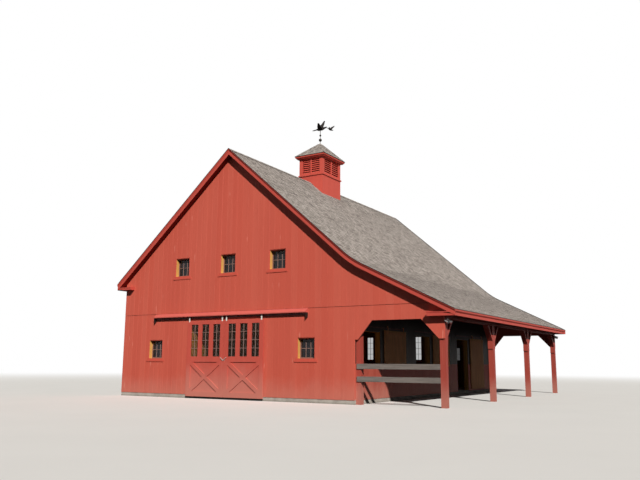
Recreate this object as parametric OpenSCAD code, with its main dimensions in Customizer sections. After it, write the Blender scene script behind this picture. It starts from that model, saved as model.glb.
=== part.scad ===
// Gabled barn with a sprung side porch, sliding doors, a louvred cupola and a goose weathervane.
// X runs along the front, Y from front to rear, Z up. All sizes are in millimetres.

/* [Main body] */
// Width of the walled main body along the front
body_w = 10973; // [10000:1:12000]
// Length of the barn from front wall face to rear wall face
body_l = 14630; // [13500:1:16000]
// Thickness of the framed and boarded walls
wall_t = 200; // [170:1:230]
// Height of the concrete foundation above the ground
foundation_h = 170; // [120:1:260]
// Width of the foundation strip under the walls
foundation_w = 240; // [210:1:320]
// Height of the top of the loft floor, where the flashing crosses the front
loft_z = 3270; // [3200:1:3600]
// Thickness of the loft floor
loft_t = 230; // [150:1:280]

/* [Roof] */
// How far the ridge lies to the right of the middle of the main body
ridge_shift = 38.5; // [-60:0.5:100]
// Pitch of the main roof in degrees
main_pitch = 41.1; // [40:0.1:43]
// Pitch of the porch roof in degrees
porch_pitch = 26.6; // [24:0.1:28]
// How far past the main body the two pitches would cross if the roof were not sprung
bend_out = 29; // [0:1:200]
// Height where the two pitches would cross
bend_z = 4828; // [4700:1:4900]
// Radius of the sprung curve between the two pitches
bend_r = 3500; // [2500:1:5000]
// Thickness of the roof, square to its slope
roof_t = 150; // [110:1:155]
// Overhang of the roof past the front and rear walls
gable_overhang = 300; // [250:1:450]
// Overhang of the roof past the left wall
left_overhang = 280; // [220:1:360]
// Overhang of the porch roof past its posts
porch_overhang = 458; // [400:1:560]
// Depth of the rake and eave boards, square to the slope
rake_d = 165; // [160:1:200]
// Thickness of the rake and eave boards
rake_t = 25; // [19:1:38]
// Depth of the shingle mould on top of the rake boards
mould_d = 60; // [40:1:80]
// Thickness of the shingle mould
mould_t = 20; // [12:1:30]
// Length of the boxed eave returns along the gable walls
return_l = 430; // [300:1:600]
// Length of the boxed returns of the porch eave
porch_return_l = 950; // [700:1:1100]
// Height of the boxed eave returns
return_h = 170; // [120:1:180]
// Width of each wing of the ridge cap
cap_w = 150; // [100:1:200]
// Thickness of the ridge cap
cap_t = 16; // [10:1:30]
// Gap left where a piece lies against a slope
seat_gap = 0.3; // [0.2:0.1:0.5]

/* [Big doors] */
// Centre line of the big doors, from the left wall face
door_x = 5420; // [5380:1:5500]
// Width of one door leaf
leaf_w = 1829; // [1700:1:1900]
// Height of the bottom of the leaves above the ground
leaf_z0 = 80; // [50:1:110]
// Height of the top of the leaves above the ground
leaf_z1 = 2930; // [2900:1:2950]
// Thickness of the boarded back of a leaf
leaf_back_t = 14; // [12:1:18]
// Thickness of the frame boards on the face of a leaf
leaf_frame_t = 31; // [28:1:34]
// Gap between the wall face and the back of a leaf
leaf_gap = 50; // [45:1:60]
// Gap between the two closed leaves
leaf_meet = 8; // [6:1:16]
// Width of the upright boards and of the bottom board of a leaf
stile_w = 190; // [150:1:210]
// Width of the top board of a leaf
top_board_w = 135; // [100:1:160]
// Width of the board under the tall lights
mid_board_w = 205; // [160:1:220]
// Width of the crossed boards in the lower panel
cross_w = 105; // [90:1:130]
// Height of the bottom of the tall lights
light_z0 = 1576; // [1540:1:1640]
// Thickness of the glass
glass_t = 6; // [4:1:8]
// How far a leaf overlaps the side of its doorway
doorway_lap = 60; // [40:1:90]
// Height of the top of the big doorways
doorway_z = 2880; // [2840:1:2890]
// Length of the track hood
hood_l = 7310; // [7250:1:7600]
// How far the hood is set to the right of the doors' centre line
hood_shift = 35; // [0:1:60]
// Projection of the track hood
hood_p = 170; // [165:1:220]
// Height of the hood where it meets the wall
hood_z = 3270; // [3265:1:3330]
// Height of the lower edge of the hood
hood_z0 = 3015; // [3000:1:3030]
// Drop of the sloped top of the hood
hood_fall = 130; // [100:1:140]
// Thickness of the hood boards
hood_t = 22; // [18:1:26]

/* [Door tracks] */
// Height of the flat rail of a track
rail_h = 45; // [35:1:50]
// Thickness of the flat rail
rail_t = 10; // [8:1:14]
// Height of the top of the big doors' rail
rail_z = 3080; // [3070:1:3090]
// Radius of the trolley wheels
wheel_r = 32; // [26:1:36]
// Running gap under the trolley wheels
wheel_gap = 0.4; // [0.3:0.1:0.8]
// Thickness of the hanger straps
strap_t = 6; // [5:1:8]
// Width of the hanger straps
strap_w = 60; // [50:1:80]
// How far a strap runs down its door
strap_lap = 150; // [120:1:250]
// How far a strap passes above its axle
strap_head = 20; // [15:1:30]
// Distance of a hanger from the edge of its leaf
hanger_in = 95; // [60:1:300]
// Width of the spacer blocks behind a rail
spacer_w = 30; // [20:1:50]
// Number of spacer blocks behind a big rail
spacers = 7; // [5:1:9]
// Number of spacer blocks behind a stall rail
stall_spacers = 5; // [4:1:7]
// Radius of the trolley axles
axle_r = 8; // [6:1:10]

/* [Windows] */
// Width of a window opening
win_w = 730; // [650:1:800]
// Height of a window opening
win_h = 750; // [700:1:800]
// Centre line of the window rows, from the left wall face
win_x = 5435; // [5400:1:5480]
// Spacing of the upper windows
upper_gap = 2325; // [2200:1:2450]
// Height of the bottom of the upper windows
upper_z = 4725; // [4600:1:4800]
// Distance of the lower windows from the centre line
lower_gap = 3600; // [3500:1:3800]
// Height of the bottom of the lower windows
lower_z = 1485; // [1400:1:1600]
// Thickness of the lining boards in an opening
liner_t = 22; // [16:1:30]
// Depth of the reveal in front of the sash
sash_y = 150; // [110:1:160]
// Thickness of the sash
sash_t = 35; // [30:1:45]
// Face width of the sash bars
sash_w = 42; // [34:1:60]
// Height of each of the two boards of a sill
sill_h = 65; // [50:1:75]
// How far the lower sill board stands out from the wall
sill_p = 38; // [30:1:45]
// How far the lower sill board runs past its opening on each side
sill_lap = 105; // [80:1:120]
// How much the upper sill board is set in from the lower one
sill_in = 18; // [12:1:25]

/* [Porch] */
// Depth of the porch from the main body to the outer face of its posts
porch_w = 3200; // [3000:1:3400]
// Width of a square porch post
post_w = 190; // [160:1:210]
// Thickness of the boarded panels at the porch ends
panel_t = 38; // [30:1:45]
// Height of the flat top of the porch end openings
end_z1 = 2763; // [2700:1:2790]
// Height where the cut corners of the end openings start
end_z0 = 2130; // [2050:1:2200]
// Width of the left cut corner
cut_left = 535; // [480:1:580]
// Width of the right cut corner
cut_right = 604; // [540:1:640]
// Width of the strip of panel beside the main body
end_strip = 123; // [100:1:150]
// Setback of the inner post behind the outer face of the end panel
inner_set = 78; // [70:1:90]
// Height of the underside of the porch beam
beam_z = 2763; // [2700:1:2800]
// Width of a knee brace
brace_w = 90; // [70:1:110]
// Reach of a knee brace along the beam
brace_run = 520; // [420:1:600]
// Thickness of the vertical leg of a knee brace
leg_t = 38; // [30:1:45]
// Height of the foot of the vertical leg
leg_z = 1910; // [1850:1:2000]
// Height of a porch rail board
fence_h = 172; // [140:1:190]
// Thickness of a porch rail board
fence_t = 38; // [30:1:38]
// Distance of the rail boards' ends from the main body
fence_in = 50; // [30:1:100]
// Height of the bottom of the upper rail board
fence_z1 = 1166; // [1100:1:1250]
// Height of the bottom of the lower rail board
fence_z0 = 750; // [650:1:850]

/* [Stalls] */
// Distance of the first stall opening from the front wall face
stall_y = 470; // [450:1:520]
// Distance from one stall opening to the next
stall_pitch = 4570; // [4500:1:4640]
// Width of a stall opening
stall_w = 1420; // [1350:1:1480]
// Height of the top of the stall openings
stall_z = 2450; // [2400:1:2500]
// Height of the low wall under the first two stall openings
stall_sill_z = 1340; // [1280:1:1400]
// Width of a stall door
stall_leaf_w = 1850; // [1830:1:1950]
// Height of the bottom of the full stall door
stall_leaf_z0 = 205; // [190:1:230]
// Height of the bottom of the two half doors
half_leaf_z0 = 1250; // [1200:1:1270]
// How far a closed stall door overlaps the near side of its opening
stall_lap = 180; // [150:1:190]
// Height of the top of a stall door
stall_leaf_z1 = 2545; // [2520:1:2560]
// Thickness of a stall door's boards
stall_leaf_t = 28; // [22:1:32]
// Thickness of a stall door's battens
batten_t = 19; // [16:1:22]
// Width of a stall door's battens
batten_w = 120; // [90:1:140]
// Distance of the battens from the edges of a stall door
batten_in = 35; // [20:1:50]
// Gap between the stall wall and its doors
stall_gap = 30; // [25:1:40]
// Distance of a parked stall door from its opening
park_gap = 260; // [220:1:280]
// Distance of a hanger from the edge of a stall door
stall_hanger_in = 250; // [200:1:350]
// How far a stall rail runs past its parked door
rail_past = 50; // [30:1:60]
// Height of the top of the stall rail
stall_rail_z = 2640; // [2625:1:2680]

/* [Cupola] */
// Distance of the cupola's centre from the front wall face
cupola_y = 6575; // [6400:1:7400]
// Width of the cupola across the ridge
cupola_w = 1275; // [1100:1:1400]
// Length of the cupola along the ridge
cupola_l = 1655; // [1400:1:1800]
// Height of the top of the cupola's sill band above the ridge
sill_up = 424; // [380:1:460]
// Height of the louvred part of the cupola
cupola_h = 800; // [720:1:880]
// Height of the cupola roof from its soffit to its tip
cupola_roof_h = 950; // [850:1:1050]
// Overhang of the cupola roof
cupola_eave = 165; // [120:1:220]
// Height of the cupola roof's edge board
cupola_edge = 130; // [100:1:160]
// Thickness of the cupola roof at its shingle edge
shingle_lip = 14; // [10:1:20]
// How far the cupola's eave boards are set back from the shingle edge
eave_in = 16; // [10:1:25]
// Height of the cupola's sill band
sill_band_h = 60; // [45:1:80]
// Projection of the cupola's sill band
sill_band_p = 40; // [25:1:50]
// Width of the cupola's corner boards
corner_w = 170; // [140:1:190]
// Width of the post between two louvre panels
mullion_w = 60; // [50:1:90]
// Depth of the louvre frames
louvre_d = 70; // [60:1:90]
// Thickness of a louvre slat
slat_t = 14; // [10:1:18]
// Number of slats in a louvre panel
slats = 7; // [5:1:7]
// How far the slats lean, in degrees
slat_tilt = 40; // [30:1:50]
// Length of a slat's blade as a share of the slats' spacing
slat_share = 0.95; // [0.85:0.01:1.1]
// How far a slat is let into the frame at each end
slat_seat = 5; // [3:1:10]
// Setback of the slats' lower edges behind the frame's face
slat_back = 12; // [8:1:20]

/* [Weathervane] */
// Radius of the mast
mast_r = 12; // [10:1:14]
// Depth that the mast is let into the tip of the cupola roof
mast_seat = 60; // [40:1:100]
// Radius of the large ball
ball_r = 75; // [60:1:85]
// Height of the centre of the large ball above the tip of the cupola roof
ball_up = 155; // [120:1:180]
// Radius of the small ball
small_ball_r = 48; // [40:1:55]
// Height of the centre of the small ball above the tip of the cupola roof
small_ball_up = 385; // [360:1:410]
// Radius of the spindle that the vane turns on
spindle_r = 8; // [7:1:9]
// Height of the top of the spindle above the tip of the cupola roof
spindle_up = 620; // [600:1:640]
// Running gap between the spindle and the vane's sleeve
spindle_gap = 0.6; // [0.5:0.1:1]
// Thickness of the sleeve's wall
sleeve_t = 6; // [4:1:8]
// Thickness of the sheet that the leading goose is cut from
goose_t = 10; // [9:1:14]
// Thickness of the sheet that the following goose is cut from
follower_t = 7; // [6:1:8]
// Length of the leading goose from beak to tail
goose_l = 860; // [800:1:900]
// Length of the goose that follows
follower_l = 480; // [440:1:520]
// How far the leading goose's middle is set forward of the mast
goose_lead = 50; // [30:1:60]
// How far the wings on either side lean out from upright, in degrees, as each goose banks
wing_lean = [70, 16];
// How far the wings are let into the sides of the body
wing_root = 3; // [2:0.5:4]
// How far the following goose noses up, in degrees
goose_tilt = 33; // [25:1:40]

/* [Floodlights] */
// Width of a floodlight's bracket
flood_w = 110; // [90:1:130]
// Radius of a lamp head
lamp_r = 55; // [48:1:60]
// Length of a lamp head
lamp_l = 130; // [110:1:150]
// Size of the square box that carries the lamps, and its depth
flood_box = [100, 60];
// Depth of a box's centre below the underside of the porch beam
flood_down = 75; // [60:1:110]
// Radius of the arms
arm_r = 14; // [10:1:18]
// How far an arm reaches past the box
arm_l = 40; // [30:1:60]
// How far the lamps look down and outwards, in degrees
lamp_tilt = [110, 20];

/* [Hidden] */
$fn = 48;

barn_red = "firebrick";
trim_red = "brown";
shingle_grey = "dimgray";
bare_wood = "tan";
old_wood = "gray";
steel = "silver";
concrete = "lightgray";
glass_tint = "lightblue";

eave_x = body_w + porch_w + porch_overhang;
ridge_x = body_w / 2 + ridge_shift;
bend_x = body_w + bend_out;
peak_z = round(bend_z + (bend_x - ridge_x) * tan(main_pitch));
cupola_sill_z = peak_z + sill_up;
cupola_top_z = cupola_sill_z + cupola_h;
cupola_tip_z = cupola_top_z + cupola_roof_h;
ball_z = cupola_tip_z + ball_up;
small_ball_z = cupola_tip_z + small_ball_up;
spindle_z = cupola_tip_z + spindle_up;
trim_t = rake_t + mould_t;
roof_y = trim_t - gable_overhang;
roof_l = body_l - 2 * roof_y;
centre_x = (eave_x - left_overhang) / 2;
bend_steps = 12;
bend_tan = bend_r * tan((main_pitch - porch_pitch) / 2);
bend_start = [bend_x - bend_tan * cos(main_pitch), bend_z + bend_tan * sin(main_pitch)];
bend_centre = bend_start + bend_r * [sin(main_pitch), cos(main_pitch)];
leaf_y = leaf_gap + leaf_back_t + leaf_frame_t;
doorway_x0 = door_x - leaf_w - leaf_meet / 2 + doorway_lap;
doorway_x1 = door_x + leaf_w + leaf_meet / 2 - doorway_lap;
light_z1 = leaf_z1 - top_board_w;
light_w = (leaf_w - 4 * stile_w) / 3;
light_pitch = light_w + stile_w;
rail_y = leaf_gap + leaf_back_t / 2;
bay = (body_l - 2 * panel_t - post_w) / 3;
post_x = body_w + porch_w - post_w;
stall_leaf_x = body_w + stall_gap;
stall_rail_x = stall_leaf_x + stall_leaf_t / 2 - rail_t / 2;
upper_xs = [for (i = [-1:1]) win_x + i * upper_gap];
lower_xs = [win_x - lower_gap, win_x + lower_gap];
hood_x0 = door_x + hood_shift - hood_l / 2;

// Height of the roof at x, a depth d below its upper face, left of the ridge
function left_z(x, d) = peak_z - (ridge_x - x) * tan(main_pitch) - d / cos(main_pitch);
// The same on the porch roof
function porch_z(x, d) = bend_z - (x - bend_x) * tan(porch_pitch) - d / cos(porch_pitch);
// Point of the sprung curve at pitch a and depth d
function bend_pt(a, d) = bend_centre - (bend_r + d) * [sin(a), cos(a)];
// The right side of the roof from the ridge to x, at depth d
function right_line(x, d) = concat(
    [[ridge_x, left_z(ridge_x, d)]],
    [for (i = [0:bend_steps]) bend_pt(main_pitch + (porch_pitch - main_pitch) * i / bend_steps, d)],
    [[x, porch_z(x, d)]]
);
// The left side of the roof from x to the ridge, at depth d
function left_line(x, d) = [[x, left_z(x, d)], [ridge_x, left_z(ridge_x, d)]];
// A list turned around
function turned(list) = [for (i = [len(list) - 1:-1:0]) list[i]];
// Start of a porch bay, at the front face of its post
function bay_y(i) = panel_t + i * bay;
// Near side of a stall opening
function stall_at(i) = stall_y + i * stall_pitch;

// Puts the origin on the ground under the middle of the barn
module placed() {
    translate([-centre_x, -body_l / 2, 0]) children();
}

// Stands a drawing in X and Z up, from y on, with depth t
module across(y, t) {
    translate([0, y + t, 0]) rotate([90, 0, 0]) linear_extrude(t) children();
}

// Stands a drawing in Y and Z up, from x on, with length l
module along(x, l) {
    translate([x, 0, 0]) rotate([90, 0, 90]) linear_extrude(l) children();
}

// Makes the rear copy of something at the front
module at_rear() {
    translate([0, body_l, 0]) mirror([0, 1, 0]) children();
}

// A box from its lowest to its highest corner
module block(a, b) {
    translate(a) cube(b - a);
}

// The right side of the roof, as a band between two depths
module right_band(x, d0, d1) {
    polygon(concat(right_line(x, d0), turned(right_line(x, d1))));
}

// The left side of the roof, as a band between two depths
module left_band(x, d0, d1) {
    polygon(concat(left_line(x, d0), turned(left_line(x, d1))));
}

// Everything under the roof, as a drawing in X and Z
module under_roof() {
    polygon(concat(
        [[-left_overhang, 0]],
        left_line(-left_overhang, roof_t + seat_gap),
        [for (p = right_line(eave_x, roof_t + seat_gap)) if (p[0] > ridge_x) p],
        [[eave_x, 0]]
    ));
}

// The gable's drawing between two heights
module gable_drawing(x0, x1, z0) {
    intersection() {
        under_roof();
        translate([x0, z0]) square([x1 - x0, peak_z]);
    }
}

module foundation() {
    color(concrete) placed() difference() {
        block([0, 0, 0], [body_w, body_l, foundation_h]);
        block([foundation_w, foundation_w, -1],
            [body_w - foundation_w, body_l - foundation_w, foundation_h + 1]);
    }
}

module floor_slab() {
    color(concrete) placed()
        block([foundation_w, foundation_w, 0], [body_w - foundation_w, body_l - foundation_w, foundation_h]);
}

// A window hole through a front wall, at x and from z up
module window_hole(x, z) {
    block([x - win_w / 2, -1, z], [x + win_w / 2, wall_t + 1, z + win_h]);
}

module wall_left_piece() {
    difference() {
        block([0, 0, foundation_h], [doorway_x0, wall_t, doorway_z]);
        window_hole(lower_xs[0], lower_z);
    }
}

module wall_right_piece() {
    difference() {
        block([doorway_x1, 0, foundation_h], [body_w, wall_t, doorway_z]);
        window_hole(lower_xs[1], lower_z);
    }
}

module gable_piece() {
    difference() {
        across(0, wall_t) gable_drawing(0, body_w, doorway_z);
        for (x = upper_xs) window_hole(x, upper_z);
    }
}

module front_wall_left() {
    color(barn_red) placed() wall_left_piece();
}

module front_wall_right() {
    color(barn_red) placed() wall_right_piece();
}

module front_gable() {
    color(barn_red) placed() gable_piece();
}

module rear_wall_left() {
    color(barn_red) placed() at_rear() wall_left_piece();
}

module rear_wall_right() {
    color(barn_red) placed() at_rear() wall_right_piece();
}

module rear_gable() {
    color(barn_red) placed() at_rear() gable_piece();
}

module left_wall() {
    color(barn_red) placed() across(wall_t, body_l - 2 * wall_t) intersection() {
        under_roof();
        translate([0, foundation_h]) square([wall_t, peak_z]);
    }
}

// The stall wall up to the heads of its openings, with low walls under the first two
module stall_wall_piers() {
    a = [for (i = [0:2]) stall_at(i)];
    b = [for (y = a) y + stall_w];
    color(barn_red) placed() {
        along(body_w - wall_t, wall_t)
            polygon([
                [wall_t, foundation_h], [a[2], foundation_h], [a[2], stall_z], [b[1], stall_z],
                [b[1], stall_sill_z], [a[1], stall_sill_z], [a[1], stall_z], [b[0], stall_z],
                [b[0], stall_sill_z], [a[0], stall_sill_z], [a[0], stall_z], [wall_t, stall_z]
            ]);
        block([body_w - wall_t, b[2], foundation_h], [body_w, body_l - wall_t, stall_z]);
    }
}

module stall_wall_header() {
    color(barn_red) placed() across(wall_t, body_l - 2 * wall_t)
        gable_drawing(body_w - wall_t, body_w, stall_z);
}

module loft_floor() {
    color(bare_wood) placed()
        block([wall_t, wall_t, loft_z - loft_t], [body_w - wall_t, body_l - wall_t, loft_z]);
}

module roof_left() {
    color(shingle_grey) placed()
        across(roof_y, roof_l)
        left_band(rake_t - left_overhang, 0, roof_t);
}

module roof_right() {
    color(shingle_grey) placed()
        across(roof_y, roof_l)
        right_band(eave_x - trim_t, 0, roof_t);
}

// The ridge cap's section: two wings bent over the ridge
module cap_drawing() {
    wing = cap_w * cos(main_pitch);
    polygon([
        [ridge_x - wing, left_z(ridge_x - wing, -seat_gap)],
        [ridge_x, left_z(ridge_x, -seat_gap)],
        [ridge_x + wing, left_z(ridge_x - wing, -seat_gap)],
        [ridge_x + wing, left_z(ridge_x - wing, -cap_t)],
        [ridge_x, left_z(ridge_x, -cap_t)],
        [ridge_x - wing, left_z(ridge_x - wing, -cap_t)]
    ]);
}

module ridge_cap() {
    front_end = cupola_y - cupola_l / 2;
    rear_start = cupola_y + cupola_l / 2;
    color(shingle_grey) placed() {
        across(-gable_overhang, front_end + gable_overhang) cap_drawing();
        across(rear_start, body_l + gable_overhang - rear_start) cap_drawing();
    }
}

// Rake boards with the shingle mould on their upper edge
module rake_piece() {
    across(mould_t - gable_overhang, rake_t) {
        left_band(-left_overhang, 0, rake_d);
        right_band(eave_x, 0, rake_d);
    }
    across(-gable_overhang, mould_t) {
        left_band(-left_overhang, 0, mould_d);
        right_band(eave_x, 0, mould_d);
    }
}

module front_rakes() {
    color(trim_red) placed() rake_piece();
}

module rear_rakes() {
    color(trim_red) placed() at_rear() rake_piece();
}

// Eave board and soffit of the left eave, with its two boxed returns
module left_eave() {
    z1 = left_z(-left_overhang, 0);
    z0 = left_z(-left_overhang, rake_d);
    color(trim_red) placed() {
        across(roof_y, roof_l) {
            polygon([
                [-left_overhang, z0], [rake_t - left_overhang, z0],
                [rake_t - left_overhang, left_z(rake_t - left_overhang, 0)], [-left_overhang, z1]
            ]);
            polygon([
                [-left_overhang, z0], [0, z0], [0, z0 + rake_t], [-left_overhang, z0 + rake_t]
            ]);
        }
        for (y = [roof_y, body_l])
            across(y, -roof_y)
                polygon([
                    [-left_overhang, z0], [return_l - left_overhang, z0],
                    [return_l - left_overhang, z0 + return_h],
                    [rake_t - left_overhang, left_z(rake_t - left_overhang, roof_t + seat_gap)]
                ]);
    }
}

// Eave board of the porch roof with the shingle mould on its upper edge, and its two boxed returns
module right_eave() {
    z1 = porch_z(eave_x, 0);
    z0 = porch_z(eave_x, rake_d);
    color(trim_red) placed() {
        across(roof_y, roof_l)
            polygon([
                [eave_x - mould_t, z0], [eave_x - trim_t, z0],
                [eave_x - trim_t, porch_z(eave_x - trim_t, 0)], [eave_x, z1],
                [eave_x, porch_z(eave_x, mould_d)], [eave_x - mould_t, porch_z(eave_x, mould_d)]
            ]);
        for (y = [roof_y, body_l])
            across(y, -roof_y)
                polygon([
                    [eave_x - mould_t, z0], [eave_x - porch_return_l, z0],
                    [eave_x - porch_return_l, z0 + return_h],
                    [eave_x - trim_t, porch_z(eave_x - trim_t, roof_t + seat_gap)]
                ]);
    }
}

// A block with the cupola's plan, grown by g on each side, between two heights
module cupola_block(z0, z1, g) {
    block([ridge_x - cupola_w / 2 - g, cupola_y - cupola_l / 2 - g, z0],
        [ridge_x + cupola_w / 2 + g, cupola_y + cupola_l / 2 + g, z1]);
}

module cupola_base() {
    foot = left_z(ridge_x - cupola_w / 2, -seat_gap);
    color(barn_red) placed() {
        across(cupola_y - cupola_l / 2, cupola_l)
            polygon([
                [ridge_x - cupola_w / 2, foot], [ridge_x, left_z(ridge_x, -seat_gap)],
                [ridge_x + cupola_w / 2, foot],
                [ridge_x + cupola_w / 2, cupola_sill_z - sill_band_h],
                [ridge_x - cupola_w / 2, cupola_sill_z - sill_band_h]
            ]);
        cupola_block(cupola_sill_z - sill_band_h, cupola_sill_z, sill_band_p);
    }
}

// One face of louvres of width w, in a drawing where X runs along the face and Y into it
module louvre_face(w) {
    panel = (w - 2 * corner_w - mullion_w) / 2;
    tall = cupola_top_z - cupola_sill_z;
    pitch = (tall - 2 * mullion_w) / slats;
    for (x = [-(panel + mullion_w) / 2, (panel + mullion_w) / 2])
        for (i = [0:slats - 1])
            translate([x - panel / 2 - slat_seat, slat_back, cupola_sill_z + mullion_w + i * pitch])
                rotate([-slat_tilt, 0, 0]) translate([0, -slat_t / 2, 0])
                cube([panel + 2 * slat_seat, slat_t, pitch * slat_share]);
    for (x = [-w / 2, w / 2 - corner_w]) block([x, 0, cupola_sill_z], [x + corner_w, louvre_d, cupola_top_z]);
    block([-mullion_w / 2, 0, cupola_sill_z], [mullion_w / 2, louvre_d, cupola_top_z]);
    block([-w / 2, 0, cupola_sill_z], [w / 2, louvre_d, cupola_sill_z + mullion_w]);
    block([-w / 2, 0, cupola_top_z - mullion_w], [w / 2, louvre_d, cupola_top_z]);
}

module cupola_louvres() {
    color(barn_red) placed() translate([ridge_x, cupola_y, 0])
        for (turn = [0, 180]) {
            rotate([0, 0, turn]) translate([0, -cupola_l / 2, 0]) louvre_face(cupola_w);
            rotate([0, 0, turn + 90]) translate([0, -cupola_w / 2, 0]) louvre_face(cupola_l);
        }
}

// Boxed eave under the cupola's roof
module cupola_eaves() {
    color(trim_red) placed()
        cupola_block(cupola_top_z, cupola_top_z + cupola_edge - shingle_lip, cupola_eave - eave_in);
}

// The cupola roof seen square on, with half its width and the height where the slope starts
module cupola_roof_drawing(half, edge_z) {
    polygon([
        [-half, edge_z - shingle_lip], [half, edge_z - shingle_lip], [half, edge_z], [0, cupola_tip_z],
        [-half, edge_z]
    ]);
}

module cupola_roof() {
    half_w = cupola_w / 2 + cupola_eave;
    half_l = cupola_l / 2 + cupola_eave;
    edge_z = cupola_top_z + cupola_edge;
    color(shingle_grey) placed() translate([ridge_x, cupola_y, 0]) difference() {
        intersection() {
            across(-half_l, 2 * half_l) cupola_roof_drawing(half_w, edge_z);
            along(-half_w, 2 * half_w) cupola_roof_drawing(half_l, edge_z);
        }
        translate([0, 0, cupola_tip_z - mast_seat]) cylinder(r = mast_r, h = mast_seat + 1);
    }
}

module vane_mast() {
    color("darkslategray") placed() translate([ridge_x, cupola_y, 0]) {
        translate([0, 0, cupola_tip_z - mast_seat])
            cylinder(r = mast_r, h = small_ball_z - cupola_tip_z + mast_seat);
        translate([0, 0, ball_z]) sphere(r = ball_r);
        translate([0, 0, small_ball_z]) sphere(r = small_ball_r);
        translate([0, 0, small_ball_z]) cylinder(r = spindle_r, h = spindle_z - small_ball_z);
    }
}

// A flying goose seen from the side, beak towards -X, with its wings as separate blades
module goose_body(l) {
    polygon([
        [-0.50 * l, 0.00 * l], [-0.40 * l, 0.035 * l], [-0.22 * l, 0.05 * l], [-0.06 * l, 0.13 * l],
        [0.12 * l, 0.15 * l], [0.30 * l, 0.10 * l], [0.50 * l, 0.10 * l], [0.42 * l, 0.02 * l],
        [0.20 * l, -0.07 * l], [-0.02 * l, -0.08 * l], [-0.18 * l, -0.01 * l], [-0.36 * l, -0.02 * l]
    ]);
}

module goose_wing(l) {
    polygon([
        [-0.08 * l, 0], [0.00 * l, 0.26 * l], [0.20 * l, 0.56 * l],
        [0.27 * l, 0.53 * l], [0.25 * l, 0.28 * l], [0.18 * l, 0]
    ]);
}

module goose(l, t) {
    across(-t / 2, t) goose_body(l);
    for (side = [0, 1]) mirror([0, side, 0])
        translate([0, t / 2 - wing_root, 0]) rotate([-wing_lean[1 - side], 0, 0]) across(0, t) goose_wing(l);
}

module weathervane() {
    sleeve_r = spindle_r + spindle_gap + sleeve_t;
    sleeve_z = small_ball_z + small_ball_r + spindle_gap;
    bore_z = spindle_z + spindle_gap;
    goose_z = bore_z + 2 * sleeve_t + 0.07 * goose_l - wing_root;
    color("darkslategray") placed() translate([ridge_x, cupola_y, 0]) {
        difference() {
            translate([0, 0, sleeve_z]) cylinder(r = sleeve_r, h = bore_z + 2 * sleeve_t - sleeve_z);
            translate([0, 0, sleeve_z - 1]) cylinder(r = spindle_r + spindle_gap, h = bore_z - sleeve_z + 1);
        }
        translate([-goose_lead, 0, goose_z]) goose(goose_l, goose_t);
        translate([0.42 * goose_l - goose_lead, 0, goose_z + 0.06 * goose_l])
            rotate([0, goose_tilt, 0]) translate([follower_l / 2, 0, 0]) goose(follower_l, follower_t);
    }
}

// Sloped hood over a track, hollow below
module hood_piece() {
    inner = hood_p - hood_t;
    fall = hood_fall / hood_p;
    along(hood_x0, hood_l)
        polygon([
            [0, hood_z], [-hood_p, hood_z - hood_fall], [-hood_p, hood_z0], [-inner, hood_z0],
            [-inner, hood_z - fall * inner - hood_t], [0, hood_z - hood_t]
        ]);
    for (x = [hood_x0, hood_x0 + hood_l - hood_t])
        along(x, hood_t)
            polygon([[0, hood_z], [-hood_p, hood_z - hood_fall], [-hood_p, hood_z0], [0, hood_z0]]);
}

module front_track_hood() {
    color(trim_red) placed() hood_piece();
}

module rear_track_hood() {
    color(trim_red) placed() at_rear() hood_piece();
}

// Flat rail on spacer blocks for a big pair of doors
module big_rail() {
    x0 = hood_x0 + hood_t;
    l = hood_l - 2 * hood_t;
    block([x0, -rail_y - rail_t / 2, rail_z - rail_h], [x0 + l, -rail_y + rail_t / 2, rail_z]);
    for (i = [0:spacers - 1]) {
        x = x0 + l * (i + 0.5) / spacers;
        block([x - spacer_w / 2, -rail_y + rail_t / 2, rail_z - rail_h],
            [x + spacer_w / 2, 0, rail_z - rail_h / 3]);
    }
}

// Flat rail over one stall opening, from the closed door's near side to past the parked door
module stall_rail(i) {
    y0 = stall_at(i) - stall_lap;
    y1 = stall_at(i) + stall_w + park_gap + stall_leaf_w + rail_past;
    block([stall_rail_x, y0, stall_rail_z - rail_h], [stall_rail_x + rail_t, y1, stall_rail_z]);
    for (k = [0:stall_spacers - 1]) {
        y = y0 + (y1 - y0) * (k + 0.5) / stall_spacers;
        block([body_w, y - spacer_w / 2, stall_rail_z - rail_h],
            [stall_rail_x, y + spacer_w / 2, stall_rail_z - rail_h / 3]);
    }
}

module door_tracks() {
    color(steel) placed() {
        big_rail();
        at_rear() big_rail();
        for (i = [0:2]) stall_rail(i);
    }
}

// Strap, axle and wheel of one hanger, with the strap on the face at face_y and its wheel on top of the rail
module hanger(x, z_top, face_y, wheel_y) {
    z_axle = z_top + wheel_gap + wheel_r;
    block([x - strap_w / 2, face_y - strap_t, leaf_z1 - strap_lap],
        [x + strap_w / 2, face_y, z_axle + strap_head]);
    translate([x, face_y, z_axle]) rotate([-90, 0, 0]) cylinder(r = axle_r, h = wheel_y - face_y);
    translate([x, wheel_y - rail_t / 2, z_axle]) rotate([-90, 0, 0]) cylinder(r = wheel_r, h = rail_t);
}

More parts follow.
